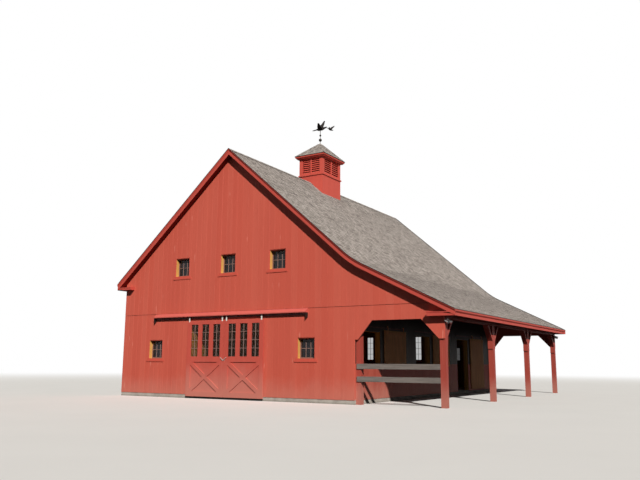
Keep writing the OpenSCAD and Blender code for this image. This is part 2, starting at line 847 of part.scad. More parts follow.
// A big door leaf, from x on, with three tall lights over a braced panel
module leaf(x) {
    y0 = -leaf_y;
    y1 = -leaf_gap - leaf_back_t;
    mid_z = light_z0 - mid_board_w;
    difference() {
        block([x, y1, leaf_z0], [x + leaf_w, -leaf_gap, leaf_z1]);
        for (i = [0:2]) light_block(x, i, y1 - 1, -leaf_gap + 1);
    }
    for (dx = [0, leaf_w - stile_w]) block([x + dx, y0, leaf_z0], [x + dx + stile_w, y1, leaf_z1]);
    block([x, y0, leaf_z0], [x + leaf_w, y1, leaf_z0 + stile_w]);
    block([x, y0, light_z1], [x + leaf_w, y1, leaf_z1]);
    block([x, y0, mid_z], [x + leaf_w, y1, light_z0]);
    for (i = [1:2])
        block([x + i * light_pitch, y0, mid_z], [x + i * light_pitch + stile_w, y1, leaf_z1]);
    across(y0, leaf_frame_t) {
        x0 = x + stile_w;
        x1 = x + leaf_w - stile_w;
        z0 = leaf_z0 + stile_w;
        c = cross_w;
        polygon([[x0, z0], [x0 + c, z0], [x1, mid_z - c], [x1, mid_z], [x1 - c, mid_z], [x0, z0 + c]]);
        polygon([[x1, z0], [x1, z0 + c], [x0 + c, mid_z], [x0, mid_z], [x0, mid_z - c], [x1 - c, z0]]);
    }
    for (dx = [hanger_in, leaf_w - hanger_in]) hanger(x + dx, rail_z, y0, -rail_y);
}

// The space of one light in a leaf
module light_block(x, i, y0, y1) {
    x0 = x + stile_w + i * light_pitch;
    block([x0, y0, light_z0], [x0 + light_w, y1, light_z1]);
}

// The glass of one leaf
module leaf_lights(x) {
    y = -leaf_gap - leaf_back_t / 2;
    for (i = [0:2]) light_block(x, i, y - glass_t / 2, y + glass_t / 2);
}

leaf_x0 = door_x - leaf_meet / 2 - leaf_w;
leaf_x1 = door_x + leaf_meet / 2;

module front_door_left() {
    color(trim_red) placed() leaf(leaf_x0);
}

module front_door_right() {
    color(trim_red) placed() leaf(leaf_x1);
}

module rear_door_left() {
    color(trim_red) placed() at_rear() leaf(leaf_x0);
}

module rear_door_right() {
    color(trim_red) placed() at_rear() leaf(leaf_x1);
}

module front_left_lights() {
    color(glass_tint) placed() leaf_lights(leaf_x0);
}

module front_right_lights() {
    color(glass_tint) placed() leaf_lights(leaf_x1);
}

module rear_left_lights() {
    color(glass_tint) placed() at_rear() leaf_lights(leaf_x0);
}

module rear_right_lights() {
    color(glass_tint) placed() at_rear() leaf_lights(leaf_x1);
}

// Lining, sash and sill of one window
module window_unit(x, z) {
    x0 = x - win_w / 2;
    x1 = x + win_w / 2;
    z1 = z + win_h;
    difference() {
        block([x0, 0, z], [x1, wall_t, z1]);
        block([x0 + liner_t, -1, z + liner_t], [x1 - liner_t, wall_t + 1, z1 - liner_t]);
    }
    difference() {
        block([x0 + liner_t, sash_y, z + liner_t], [x1 - liner_t, sash_y + sash_t, z1 - liner_t]);
        block([x0 + liner_t + sash_w, sash_y - 1, z + liner_t + sash_w],
            [x1 - liner_t - sash_w, sash_y + sash_t + 1, z1 - liner_t - sash_w]);
    }
    block([x0 - sill_lap, -sill_p, z + liner_t - 2 * sill_h], [x1 + sill_lap, 0, z + liner_t - sill_h]);
    block([x0 - sill_lap + 2 * sill_in, sill_in - sill_p, z + liner_t - sill_h],
        [x1 + sill_lap - 2 * sill_in, 0, z + liner_t]);
}

// The glass of one window
module window_pane(x, z) {
    edge = liner_t + sash_w;
    y = sash_y + sash_t / 2;
    block([x - win_w / 2 + edge, y - glass_t / 2, z + edge],
        [x + win_w / 2 - edge, y + glass_t / 2, z + win_h - edge]);
}

module upper_windows() {
    color(bare_wood) placed() for (x = upper_xs) {
        window_unit(x, upper_z);
        at_rear() window_unit(x, upper_z);
    }
}

module lower_windows() {
    color(bare_wood) placed() for (x = lower_xs) {
        window_unit(x, lower_z);
        at_rear() window_unit(x, lower_z);
    }
}

module window_glass() {
    color(glass_tint) placed() {
        for (x = upper_xs) {
            window_pane(x, upper_z);
            at_rear() window_pane(x, upper_z);
        }
        for (x = lower_xs) {
            window_pane(x, lower_z);
            at_rear() window_pane(x, lower_z);
        }
    }
}

// Boarded end of the porch, with the corners of its opening cut across
module end_panel() {
    across(0, panel_t) difference() {
        gable_drawing(body_w, body_w + porch_w, end_z0);
        polygon([
            [body_w + end_strip, end_z0 - 1], [body_w + end_strip, end_z0],
            [body_w + end_strip + cut_left, end_z1], [post_x - cut_right, end_z1],
            [post_x, end_z0], [post_x, end_z0 - 1]
        ]);
    }
}

module porch_front_panel() {
    color(barn_red) placed() end_panel();
}

module porch_rear_panel() {
    color(barn_red) placed() at_rear() end_panel();
}

module porch_posts() {
    color(trim_red) placed() {
        for (i = [0:3]) block([post_x, bay_y(i), 0], [post_x + post_w, bay_y(i) + post_w, beam_z]);
        for (y = [inner_set, body_l - inner_set - post_w])
            block([body_w, y, 0], [body_w + post_w, y + post_w, beam_z]);
    }
}

module porch_beam() {
    color(trim_red) placed() across(panel_t, body_l - 2 * panel_t)
        gable_drawing(post_x, post_x + post_w, beam_z);
}

// A knee brace in Y and Z, rising in +Y from the face y of a post
module brace_drawing(y) {
    rise = brace_run;
    polygon([
        [y, leg_z], [y + leg_t, leg_z], [y + leg_t, beam_z - rise - brace_w / 2],
        [y + brace_run + leg_t, beam_z], [y + brace_run - brace_w, beam_z],
        [y + leg_t, beam_z - rise + brace_w], [y + leg_t, beam_z], [y, beam_z]
    ]);
}

module knee_braces() {
    color(trim_red) placed() for (i = [0:3]) {
        if (i < 3) along(post_x, post_w) brace_drawing(bay_y(i) + post_w);
        if (i > 0) translate([0, 2 * bay_y(i), 0]) mirror([0, 1, 0])
            along(post_x, post_w) brace_drawing(bay_y(i));
    }
}

module porch_rails() {
    color(old_wood) placed() for (z = [fence_z0, fence_z1])
        block([body_w + fence_in, inner_set - fence_t, z], [post_x, inner_set, z + fence_h]);
}

// A boarded stall door from height z up, parked and hung on its rail, with its ledges
module stall_leaf(i, z, ledges) {
    y0 = stall_at(i) + stall_w + park_gap;
    x1 = stall_leaf_x + stall_leaf_t;
    z_axle = stall_rail_z + wheel_gap + wheel_r;
    block([stall_leaf_x, y0, z], [x1, y0 + stall_leaf_w, stall_leaf_z1]);
    step = (stall_leaf_z1 - z - 2 * batten_in - batten_w) / (ledges - 1);
    for (k = [0:ledges - 1])
        block([x1, y0 + batten_in, z + batten_in + k * step],
            [x1 + batten_t, y0 + stall_leaf_w - batten_in, z + batten_in + k * step + batten_w]);
    for (y = [y0 + stall_hanger_in, y0 + stall_leaf_w - stall_hanger_in]) {
        block([x1 + batten_t, y - strap_w / 2, stall_leaf_z1 - strap_lap],
            [x1 + batten_t + strap_t, y + strap_w / 2, z_axle + strap_head]);
        translate([stall_rail_x, y, z_axle]) rotate([0, 90, 0]) cylinder(r = wheel_r, h = rail_t);
        translate([stall_rail_x + rail_t, y, z_axle]) rotate([0, 90, 0])
            cylinder(r = axle_r, h = x1 + batten_t - stall_rail_x - rail_t);
    }
}

module stall_door_1() {
    color(bare_wood) placed() stall_leaf(0, half_leaf_z0, 2);
}

module stall_door_2() {
    color(bare_wood) placed() stall_leaf(1, half_leaf_z0, 2);
}

module stall_door_3() {
    color(bare_wood) placed() stall_leaf(2, stall_leaf_z0, 3);
}

// A twin floodlight on the outer face of the post that starts at y0
module floodlight(y0) {
    x = post_x + post_w;
    y = y0 + post_w / 2;
    z = beam_z - flood_down;
    mid = x + flood_box[1] / 2;
    block([x, y - flood_w / 2, z - flood_box[0] / 2],
        [x + flood_box[1], y + flood_w / 2, z + flood_box[0] / 2]);
    for (side = [-1, 1]) {
        translate([mid, y, z]) rotate([-side * 90, 0, 0]) cylinder(r = arm_r, h = flood_w / 2 + arm_l);
        translate([mid, y + side * (flood_w / 2 + arm_l), z]) rotate([0, lamp_tilt[0], side * lamp_tilt[1]])
            cylinder(r = lamp_r, h = lamp_l);
    }
}

module floodlights() {
    color("lightgray") placed() {
        floodlight(bay_y(0));
        floodlight(bay_y(3));
    }
}

foundation();
floor_slab();
front_wall_left();
front_wall_right();
front_gable();
rear_wall_left();
rear_wall_right();
rear_gable();
left_wall();
stall_wall_piers();
stall_wall_header();
loft_floor();
roof_left();
roof_right();
ridge_cap();
front_rakes();
rear_rakes();
left_eave();
right_eave();
cupola_base();
cupola_louvres();
cupola_eaves();
cupola_roof();
vane_mast();
weathervane();
front_track_hood();
rear_track_hood();
door_tracks();
front_door_left();
front_door_right();
rear_door_left();
rear_door_right();
front_left_lights();
front_right_lights();
rear_left_lights();
rear_right_lights();
upper_windows();
lower_windows();
window_glass();
porch_front_panel();
porch_rear_panel();
porch_posts();
porch_beam();
knee_braces();
porch_rails();
stall_door_1();
stall_door_2();
stall_door_3();
floodlights();
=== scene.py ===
# %% [markdown]
# # A red gabled barn with a side porch
#
# The barn's frame, walls, roof and moving doors come ready made from the CAD model. This lesson
# adds what the eye looks for next: single boards, shingles, window bars, rafters, hardware, and
# paint, wood and stone that look used. Every size is in metres, and the ground is at Z = 0.

# %% Load the frame
import math
import bpy
import numpy as np
from mathutils import Matrix, Vector


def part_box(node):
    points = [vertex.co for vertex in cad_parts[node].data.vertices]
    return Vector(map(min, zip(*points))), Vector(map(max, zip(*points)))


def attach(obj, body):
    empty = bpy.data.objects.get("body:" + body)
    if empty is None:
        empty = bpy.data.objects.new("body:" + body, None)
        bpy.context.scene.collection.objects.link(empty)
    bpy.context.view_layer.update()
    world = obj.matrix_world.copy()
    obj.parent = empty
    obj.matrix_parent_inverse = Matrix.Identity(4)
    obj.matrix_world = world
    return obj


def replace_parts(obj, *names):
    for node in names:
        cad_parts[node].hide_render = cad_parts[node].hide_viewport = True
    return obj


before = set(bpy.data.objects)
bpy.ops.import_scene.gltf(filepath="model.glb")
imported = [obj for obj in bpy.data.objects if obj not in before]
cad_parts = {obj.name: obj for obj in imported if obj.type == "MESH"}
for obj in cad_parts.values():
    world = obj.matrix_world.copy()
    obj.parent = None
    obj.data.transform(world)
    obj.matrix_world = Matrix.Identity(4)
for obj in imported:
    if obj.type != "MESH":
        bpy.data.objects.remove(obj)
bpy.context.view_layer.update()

# %% [markdown]
# ## The numbers that everything hangs on
#
# The front wall faces -Y and the porch is on the +X side.

# %% Where the walls, the roof and the openings are
SIDES = (("front", -1), ("rear", 1))
wall_lo, wall_hi = (np.array(v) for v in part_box("front_gable"))
LEFT_X, RIGHT_X = wall_lo[0], wall_hi[0]
FRONT_Y, REAR_Y = wall_lo[1], -wall_lo[1]
WALL_T = wall_hi[1] - wall_lo[1]
BASE_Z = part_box("foundation")[1][2]
LOFT_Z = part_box("loft_floor")[1][2]
roof_lo, roof_hi = (np.array(v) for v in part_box("roof_right"))
RIDGE_X, RIDGE_Z = roof_lo[0], roof_hi[2]
EAVE_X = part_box("right_eave")[1][0]
LEFT_EAVE_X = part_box("left_eave")[0][0]
RAKE_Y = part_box("front_rakes")[0][1]
POST_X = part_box("porch_beam")[0][0]
PORCH_W = 3.2
ROOF_T = 0.150
TRIM_DEPTH = 0.165
MAIN_PITCH = math.radians(41.1)
PORCH_PITCH = math.radians(26.6)
BEND_X, BEND_Z, BEND_R = RIGHT_X + 0.029, 4.828, 3.5
print("walls", LEFT_X, RIGHT_X, FRONT_Y, "ridge", RIDGE_X, RIDGE_Z, "eave", EAVE_X)

# %% [markdown]
# The right side of the roof is straight, then bends through a long arc to the flatter porch, and
# is straight again. Many short steps stand for the arc. The distance travelled down the slope is
# a better measure than X for laying shingles, so the line is kept as a table of distance,
# X, Z and the direction that is square to the roof.

# %% The roof's lines
def roof_line(side):
    """The roof's upper line from the ridge down, as arrays of distance, x, z, normal x, normal z.

    side is +1 for the porch side and -1 for the left side. On the porch side the arc of radius R
    touches both slopes: its tangent length is R tan(half the change of pitch)."""
    if side < 0:
        x = np.linspace(RIDGE_X, LEFT_EAVE_X, 40)
        z = RIDGE_Z - (RIDGE_X - x) * math.tan(MAIN_PITCH)
    else:
        reach = BEND_R * math.tan((MAIN_PITCH - PORCH_PITCH) / 2)
        ax = BEND_X - reach * math.cos(MAIN_PITCH)
        az = BEND_Z + reach * math.sin(MAIN_PITCH)
        turn = np.linspace(MAIN_PITCH, PORCH_PITCH, 13)
        cx = ax + BEND_R * math.sin(MAIN_PITCH)
        cz = az + BEND_R * math.cos(MAIN_PITCH)
        bx = np.linspace(BEND_X + reach * math.cos(PORCH_PITCH), EAVE_X, 20)[1:]
        x = np.concatenate([np.linspace(RIDGE_X, ax, 40)[:-1], cx - BEND_R * np.sin(turn), bx])
        z = np.concatenate([
            np.linspace(RIDGE_Z, az, 40)[:-1], cz - BEND_R * np.cos(turn),
            BEND_Z - (bx - BEND_X) * math.tan(PORCH_PITCH)])
    dx, dz = np.gradient(x), np.gradient(z)
    length = np.hypot(dx, dz)
    down = np.concatenate([[0], np.cumsum(np.hypot(np.diff(x), np.diff(z)))])
    nx, nz = -side * dz / length, side * dx / length
    return down, x, z, nx, nz


RIGHT_LINE = roof_line(1)
LEFT_LINE = roof_line(-1)


def on_roof(line, s, lift):
    """Points lift above the roof at distance s from the ridge, as x and z."""
    down, x, z, nx, nz = line
    px, pz = np.interp(s, down, x), np.interp(s, down, z)
    ux, uz = np.interp(s, down, nx), np.interp(s, down, nz)
    return px + lift * ux, pz + lift * uz


def under_roof(u):
    """Height of the roof's underside over x = u: the upper line moved inwards by the thickness."""
    rx, rz = on_roof(RIGHT_LINE, RIGHT_LINE[0], -ROOF_T - 0.002)
    lx, lz = on_roof(LEFT_LINE, LEFT_LINE[0], -ROOF_T - 0.002)
    xs = np.concatenate([lx[::-1][:-1], rx[1:]])
    zs = np.concatenate([lz[::-1][:-1], rz[1:]])
    order = np.argsort(xs)
    return np.minimum(np.interp(u, xs[order], zs[order]), RIDGE_Z - ROOF_T / math.cos(MAIN_PITCH))


print("slope lengths", round(LEFT_LINE[0][-1], 3), round(RIGHT_LINE[0][-1], 3))

# %% [markdown]
# ## Two helpers for meshes
#
# A barn is made of hundreds of sawn pieces. Each kind is worked out as one big numpy array of
# corners, and every piece of the kind uses the same list of faces. A number from 0 to 1 is stored
# on each piece's faces as the attribute "tint", so that the paint can differ from board to board.

# %% From arrays to a mesh
def add_piece(name, corners, faces, finish, body="barn", tint=None, bevel=0.0):
    """One object from corners (pieces, corners, 3) and face lists that repeat for every piece."""
    count, each = corners.shape[:2]
    sizes = np.array([len(f) for f in faces])
    loops = np.concatenate([np.array(f) for f in faces])
    starts = np.concatenate([[0], np.cumsum(sizes)[:-1]])
    step = np.arange(count)
    mesh = bpy.data.meshes.new(name)
    mesh.vertices.add(count * each)
    mesh.vertices.foreach_set("co", corners.reshape(-1).astype(np.float32))
    mesh.loops.add(count * len(loops))
    mesh.loops.foreach_set("vertex_index", (loops[None] + step[:, None] * each).reshape(-1))
    mesh.polygons.add(count * len(faces))
    mesh.polygons.foreach_set("loop_start", (starts[None] + step[:, None] * len(loops)).reshape(-1))
    mesh.update(calc_edges=True)
    mesh.shade_flat()
    if tint is None:
        tint = np.random.default_rng(len(name)).random(count)
    shade = mesh.attributes.new("tint", "FLOAT", "FACE")
    shade.data.foreach_set("value", np.repeat(tint, len(faces)).astype(np.float32))
    mesh.validate()
    piece = bpy.data.objects.new(name, mesh)
    bpy.context.scene.collection.objects.link(piece)
    mesh.materials.append(finish)
    if bevel:
        soft = piece.modifiers.new("soft edges", "BEVEL")
        soft.width = bevel
        soft.segments = 1
        soft.limit_method = "ANGLE"
    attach(piece, body)
    print(f"{name}: {count} pieces, {count * len(faces)} faces")
    return piece


BOX_FACES = [(0, 3, 2, 1), (4, 5, 6, 7), (0, 1, 5, 4), (1, 2, 6, 5), (2, 3, 7, 6), (3, 0, 4, 7)]


def add_boxes(name, low, high, finish, body="barn", bevel=0.0):
    """Many boxes as one object, from arrays of their lowest and highest corners."""
    low, high = np.atleast_2d(low).astype(float), np.atleast_2d(high).astype(float)
    pick = np.array([[0, 0, 0], [1, 0, 0], [1, 1, 0], [0, 1, 0],
                     [0, 0, 1], [1, 0, 1], [1, 1, 1], [0, 1, 1]])
    corners = np.where(pick[None] == 1, high[:, None], low[:, None])
    return add_piece(name, corners, BOX_FACES, finish, body, bevel=bevel)


def on_gable(name, s, spans, finish, body="barn", bevel=0.0):
    """Boxes on the front (s = -1) or the rear wall (s = 1), each from x0, x1, out0, out1, z0, z1.

    out is measured from the wall's outer face, so that y = s (REAR_Y + out)."""
    x0, x1, out0, out1, z0, z1 = np.array(spans, float).T
    y = np.sort([s * (REAR_Y + out0), s * (REAR_Y + out1)], 0)
    return add_boxes(name, np.stack([x0, y[0], z0], 1), np.stack([x1, y[1], z1], 1), finish, body, bevel)


# %% [markdown]
# ## Paint, wood, shingles and metal
#
# Each finish is a small node tree. Colours are written as they look on a screen, as three numbers
# up to 255, and turned into the linear values that the renderer adds up. Patterns read Object
# coordinates, which are metres here, so a noise stretched by 5 has grains of about 20 cm.

# %% Helpers for node trees
def screen(r, g, b):
    """A screen colour from 0-255 as linear numbers: ((c + 0.055) / 1.055) to the power 2.4."""
    c = np.array([r, g, b]) / 255
    return (*np.where(c < 0.04045, c / 12.92, ((c + 0.055) / 1.055) ** 2.4), 1.0)


def start_finish(name, roughness, metallic=0.0, specular=0.5):
    """A material with one Principled shader; gives back the material, its tree and the shader."""
    finish = bpy.data.materials.new(name)
    finish.use_nodes = True
    tree = finish.node_tree
    tree.nodes.clear()
    out = tree.nodes.new("ShaderNodeOutputMaterial")
    shader = tree.nodes.new("ShaderNodeBsdfPrincipled")
    shader.inputs["Roughness"].default_value = roughness
    shader.inputs["Metallic"].default_value = metallic
    shader.inputs["Specular IOR Level"].default_value = specular
    tree.links.new(shader.outputs[0], out.inputs[0])
    return finish, tree, shader


def put(tree, kind, settings=None, inputs=None, out=0):
    """Adds a node; a value that is another node's output is linked, any other is set."""
    node = tree.nodes.new(kind)
    for key, value in (settings or {}).items():
        setattr(node, key, value)
    for key, value in (inputs or {}).items():
        socket = node.inputs[key]
        if isinstance(value, bpy.types.NodeSocket):
            tree.links.new(value, socket)
        else:
            socket.default_value = value
    return node.outputs[out]


def place(tree, stretch=(1, 1, 1)):
    """Object coordinates, squeezed by stretch along each axis."""
    coords = put(tree, "ShaderNodeTexCoord", out="Object")
    return put(tree, "ShaderNodeMapping", None, {"Vector": coords, "Scale": stretch})


def noise(tree, stretch, detail=5.0, rough=0.55):
    """Soft random pattern from 0 to 1, with as many waves to the metre as stretch says."""
    return put(tree, "ShaderNodeTexNoise", None,
               {"Vector": place(tree, stretch), "Scale": 1.0, "Detail": detail, "Roughness": rough})


def between(tree, value, low, high, a=0.0, b=1.0):
    """Maps value from low-high to a-b and stops there."""
    return put(tree, "ShaderNodeMapRange", {"interpolation_type": "SMOOTHSTEP"},
               {"Value": value, "From Min": low, "From Max": high, "To Min": a, "To Max": b})


def mixed(tree, factor, a, b):
    """Colour a, turned towards b by factor. A colour is a node's output or a screen colour."""
    a, b = (screen(*v) if isinstance(v, tuple) else v for v in (a, b))
    return put(tree, "ShaderNodeMix", {"data_type": "RGBA"}, {0: factor, 6: a, 7: b}, out=2)


def toned(tree, body, tone, value, low, high, most=1.0):
    """Colour body, turned towards tone as value goes from low to high, by most at the end."""
    return mixed(tree, between(tree, value, low, high, 0.0, most), body, tone)


def maths(tree, way, a, b=0.0):
    """One sum on two numbers."""
    return put(tree, "ShaderNodeMath", {"operation": way}, {0: a, 1: b})


def part_of(tree, axis):
    """One of the three Object coordinates."""
    coords = put(tree, "ShaderNodeTexCoord", out="Object")
    return put(tree, "ShaderNodeSeparateXYZ", None, {0: coords}, out=axis)


def from_middle(tree):
    """Distance from the plane Y = 0, which lies midway between the gable walls."""
    return maths(tree, "ABSOLUTE", part_of(tree, "Y"))


def upward(tree):
    """How far a face looks up: the Z part of its normal."""
    normal = put(tree, "ShaderNodeNewGeometry", out="Normal")
    return put(tree, "ShaderNodeSeparateXYZ", None, {0: normal}, out="Z")


def tint_of(tree):
    """The number that each piece carries on its faces."""
    return put(tree, "ShaderNodeAttribute", {"attribute_name": "tint"}, out="Fac")


def coat(tree, shader, body, height, strength, depth=0.002):
    """Gives the shader its colour, and turns the pattern height into small bumps."""
    bump = put(tree, "ShaderNodeBump", None,
               {"Height": height, "Strength": strength, "Distance": depth})
    tree.links.new(body, shader.inputs["Base Color"])
    tree.links.new(bump, shader.inputs["Normal"])


# %% [markdown]
# ### Painted boards
#
# Barn paint fades in long upright streaks where rain runs down the grain, and the foot of the wall
# gets dusty. The streaks are noise that is squeezed sideways and stretched along Z. Dust is a
# pale colour that fades in below about half a metre, broken up by more noise.

# %% The red paints
def painted(name, base, pale, dark, streaks, dust=0.0, dust_top=0.9, drips=0.0, edge=None):
    """Old red paint on wood: tint per board, upright streaks, fine grain and dust near the ground.

    drips adds thin pale runs under knots. edge is (mask, colour) for a part in another colour;
    the mask is a function of the tree."""
    finish, tree, shader = start_finish(name, 0.62, specular=0.3)
    wide = noise(tree, (2.2, 2.2, 0.12), 4.0)
    fine = noise(tree, (26, 26, 0.9), 5.0, 0.6)
    grain = noise(tree, (160, 160, 5.0), 3.0)
    body = toned(tree, base, pale, tint_of(tree), 0.0, 1.0, 0.16)
    body = toned(tree, body, dark, wide, 0.38, 0.68, 0.20 * streaks)
    body = toned(tree, body, pale, fine, 0.60, 0.80, 0.50 * streaks)
    body = toned(tree, body, dark, fine, 0.44, 0.28, 0.20 * streaks)
    body = toned(tree, body, (70, 22, 16), grain, 0.35, 0.65, 0.06)
    if drips:
        run = noise(tree, (13, 13, 1.1), 2.0, 0.5)
        body = toned(tree, body, (236, 158, 140), run, 0.70, 0.80, drips)
    if dust:
        cloud = noise(tree, (1.7, 1.7, 1.2), 6.0, 0.65)
        ragged = maths(tree, "ADD", part_of(tree, "Z"), maths(tree, "MULTIPLY", cloud, -0.9))
        body = toned(tree, body, (206, 150, 134), ragged, dust_top - 0.35, -0.30, dust)
    if edge:
        body = mixed(tree, edge[0](tree), body, edge[1])
    coat(tree, shader, body, maths(tree, "ADD", grain, maths(tree, "MULTIPLY", fine, 1.5)), 0.28)
    return finish


STRAP_Y, STRAP_Z = REAR_Y + 0.0955, 2.900
SILL_Z = 1.340


def strap_layer(tree):
    """1 on the upper part of the hanger straps, which stand 6 mm in front of the door leaves."""
    proud = maths(tree, "GREATER_THAN", from_middle(tree), STRAP_Y)
    return maths(tree, "MULTIPLY", proud, maths(tree, "GREATER_THAN", part_of(tree, "Z"), STRAP_Z))


def shade_above_the_sill(tree):
    """1 on the stall wall above the sills of its openings, painted dark brown as the deep shade under
    the porch.
    """
    return between(tree, part_of(tree, "Z"), SILL_Z - 0.005, SILL_Z + 0.005)


RED, RED_PALE, RED_DARK = (200, 89, 71), (218, 118, 98), (174, 68, 55)
siding_paint = painted("siding paint", RED, RED_PALE, RED_DARK, 0.9, 0.25, drips=0.6)
trim_paint = painted("trim paint", (190, 74, 62), (208, 100, 86), (148, 46, 40), 0.5)
door_paint = painted("door paint", (198, 84, 70), (220, 122, 106), (152, 54, 47), 0.8,
                     0.45, 1.5, drips=0.4, edge=(strap_layer, (226, 222, 214)))
hood_paint = painted("hood paint", (198, 90, 80), (216, 122, 110), (164, 64, 56), 0.5)
# The flashing's dark red is painted shade: it stands for the shadow line under the lap.
flashing_shade_paint = painted("flashing paint", (112, 42, 36), (146, 64, 54), (80, 30, 28), 0.4)
cupola_paint = painted("cupola paint", (204, 86, 72), (220, 116, 100), (158, 56, 48), 0.8)
# Above the sills the stall wall's red turns dark brown: painted shade for the dark porch interior.
stall_wall_paint = painted("porch wall paint", (172, 76, 60), (196, 108, 90), (120, 52, 42), 1.0,
                           0.35, edge=(shade_above_the_sill, (46, 34, 28)))
post_paint = painted("post paint", (166, 70, 58), (202, 110, 95), (124, 46, 40), 1.2, 0.4)

# %% [markdown]
# ### Walls seen from inside
#
# The CAD walls carry one finish each, but only their outside is painted: the inside is bare
# framing. A mask built from the coordinates picks every point that lies inside the walls' outer
# skin, and gives it bare wood.

# %% Bare wood, weathered wood and the two-sided wall
def wood_colour(tree, light, mid, dark, along=(30, 30, 1.2)):
    """Growth rings and grain along a board."""
    band = noise(tree, along, 4.0, 0.6)
    fine = noise(tree, tuple(6 * v for v in along), 3.0)
    body = toned(tree, light, mid, band, 0.35, 0.7)
    return toned(tree, body, dark, fine, 0.55, 0.8, 0.55), fine


def wooden(name, light, mid, dark, along=(30, 30, 1.2)):
    """Unpainted wood with its grain along one axis."""
    finish, tree, shader = start_finish(name, 0.75, specular=0.25)
    body, fine = wood_colour(tree, light, mid, dark, along)
    body = toned(tree, body, dark, tint_of(tree), 0.0, 1.0, 0.25)
    coat(tree, shader, body, fine, 0.35)
    return finish


TAN = ((222, 168, 92), (202, 146, 74), (156, 106, 54))
bare_wood = wooden("bare wood", *TAN)
# The rafter wood is weathered brown, darkened further as painted shade for the porch ceiling.
shaded_beam_wood = wooden("rafter wood", (84, 62, 46), (70, 51, 37), (48, 34, 25), (1.2, 30, 30))
rail_wood = wooden("weathered rail wood", (128, 120, 114), (104, 97, 92), (66, 60, 56),
                   (1.4, 30, 30))
stall_wood = wooden("stall door wood", (232, 170, 118), (204, 144, 98), (142, 96, 66))


SKIN = 0.003


def wall_finish():
    """Red outside, bare wood inside the outer skin of the walls."""
    finish, tree, shader = start_finish("wall", 0.7, specular=0.3)
    off = maths(tree, "SUBTRACT", part_of(tree, "X"), (LEFT_X + RIGHT_X) / 2)
    within = maths(tree, "LESS_THAN", maths(tree, "ABSOLUTE", off), (RIGHT_X - LEFT_X) / 2 - SKIN)
    inside = maths(tree, "MULTIPLY", within, maths(tree, "LESS_THAN", from_middle(tree), REAR_Y - SKIN))
    bare, fine = wood_colour(tree, *TAN)
    red = toned(tree, RED, RED_DARK, noise(tree, (20, 20, 0.8)), 0.4, 0.7, 0.5)
    coat(tree, shader, mixed(tree, inside, red, bare), fine, 0.3)
    return finish


wall_paint = wall_finish()

# %% [markdown]
# ### Roofing, stone, metal and glass
#
# Shingle colours differ from tab to tab. The underside of the roof deck is painted where it overhangs,
# so the roof's finish looks at which way a face points; that red and the bare wood inside are darkened
# as painted shade. Glass is thin here: a dark, partly see-through surface lets the sun reach the jambs
# behind it; its dark tone is partly painted shade of the dim room behind.

# %% The other finishes
def shingle_finish(name, light, mid, dark):
    """Grit on asphalt: fine speckle, tint per tab and slow weather stains; sideways and downward faces
    are near-black, partly dark asphalt and partly painted shade.
    """
    finish, tree, shader = start_finish(name, 0.92, specular=0.2)
    speck = noise(tree, (170, 170, 170), 2.0)
    stain = noise(tree, (0.55, 0.30, 0.55), 6.0, 0.6)
    body = toned(tree, light, mid, tint_of(tree), 0.0, 0.55)
    body = toned(tree, body, dark, tint_of(tree), 0.5, 1.0, 0.85)
    body = toned(tree, body, dark, stain, 0.45, 0.75, 0.22)
    body = toned(tree, body, dark, speck, 0.35, 0.7, 0.35)
    # Faces that look sideways or down get near-black: the cut edges' dark asphalt and painted shade in
    # one.
    body = mixed(tree, maths(tree, "LESS_THAN", upward(tree), 0.15), body, (38, 31, 29))
    coat(tree, shader, body, speck, 0.5, 0.003)
    return finish


GRIT = ((184, 175, 168), (162, 154, 147), (122, 114, 109))
shingles = shingle_finish("roof shingles", *GRIT)


def deck_finish():
    """The roof slab: grit colour on top, red paint under the overhangs and bare wood inside, both
    darkened as painted shade.
    """
    finish, tree, shader = start_finish("roof deck", 0.85, specular=0.2)
    down = maths(tree, "LESS_THAN", upward(tree), -0.2)
    out = maths(tree, "GREATER_THAN", from_middle(tree), REAR_Y - 0.01)
    left = maths(tree, "LESS_THAN", part_of(tree, "X"), LEFT_X + 0.01)
    shaded_red_part = maths(tree, "MAXIMUM", out, left)
    # The bare wood and the red below are dark colours that stand in for the shade under the roof.
    bare, fine = wood_colour(tree, (74, 55, 40), (60, 44, 32), (40, 29, 21), (30, 1.2, 30))
    below = mixed(tree, shaded_red_part, bare, (120, 40, 34))
    coat(tree, shader, mixed(tree, down, GRIT[1], below), fine, 0.3)
    return finish


roof_deck = deck_finish()


def concrete_finish():
    """Poured concrete with stains that rise from the ground."""
    finish, tree, shader = start_finish("concrete", 0.9, specular=0.25)
    cloud = noise(tree, (3, 3, 5), 7.0, 0.65)
    pits = noise(tree, (60, 60, 60), 3.0)
    body = toned(tree, (186, 178, 168), (158, 150, 141), cloud, 0.35, 0.7)
    body = toned(tree, body, (112, 104, 94), part_of(tree, "Z"), 0.07, 0.0, 0.5)
    body = toned(tree, body, (110, 104, 98), pits, 0.62, 0.75, 0.5)
    coat(tree, shader, body, pits, 0.4, 0.003)
    return finish


def metal_finish(name, light, dark, roughness, metallic, spots=0.5):
    """Metal that has stood outdoors: cloudy dulling and small spots."""
    finish, tree, shader = start_finish(name, roughness, metallic)
    cloud = noise(tree, (9, 9, 9), 6.0, 0.6)
    spot = noise(tree, (70, 70, 70), 3.0)
    body = toned(tree, light, dark, cloud, 0.35, 0.7)
    body = toned(tree, body, (92, 58, 38), spot, 0.62, 0.75, spots)
    worn = between(tree, cloud, 0.3, 0.7, roughness - 0.1, roughness + 0.15)
    tree.links.new(worn, shader.inputs["Roughness"])
    coat(tree, shader, body, spot, 0.2, 0.001)
    return finish


def glass_finish(name, tone, streak, alpha):
    """Dusty pane: a dark, partly clear sheet with faint upright smears; its dark tone is painted shade
    of the room behind.
    """
    finish, tree, shader = start_finish(name, 0.12, specular=0.25)
    smear = noise(tree, (5, 5, 1.2), 5.0)
    shader.inputs["Alpha"].default_value = alpha
    coat(tree, shader, toned(tree, tone, streak, smear, 0.4, 0.75, 0.6), smear, 0.05)
    return finish


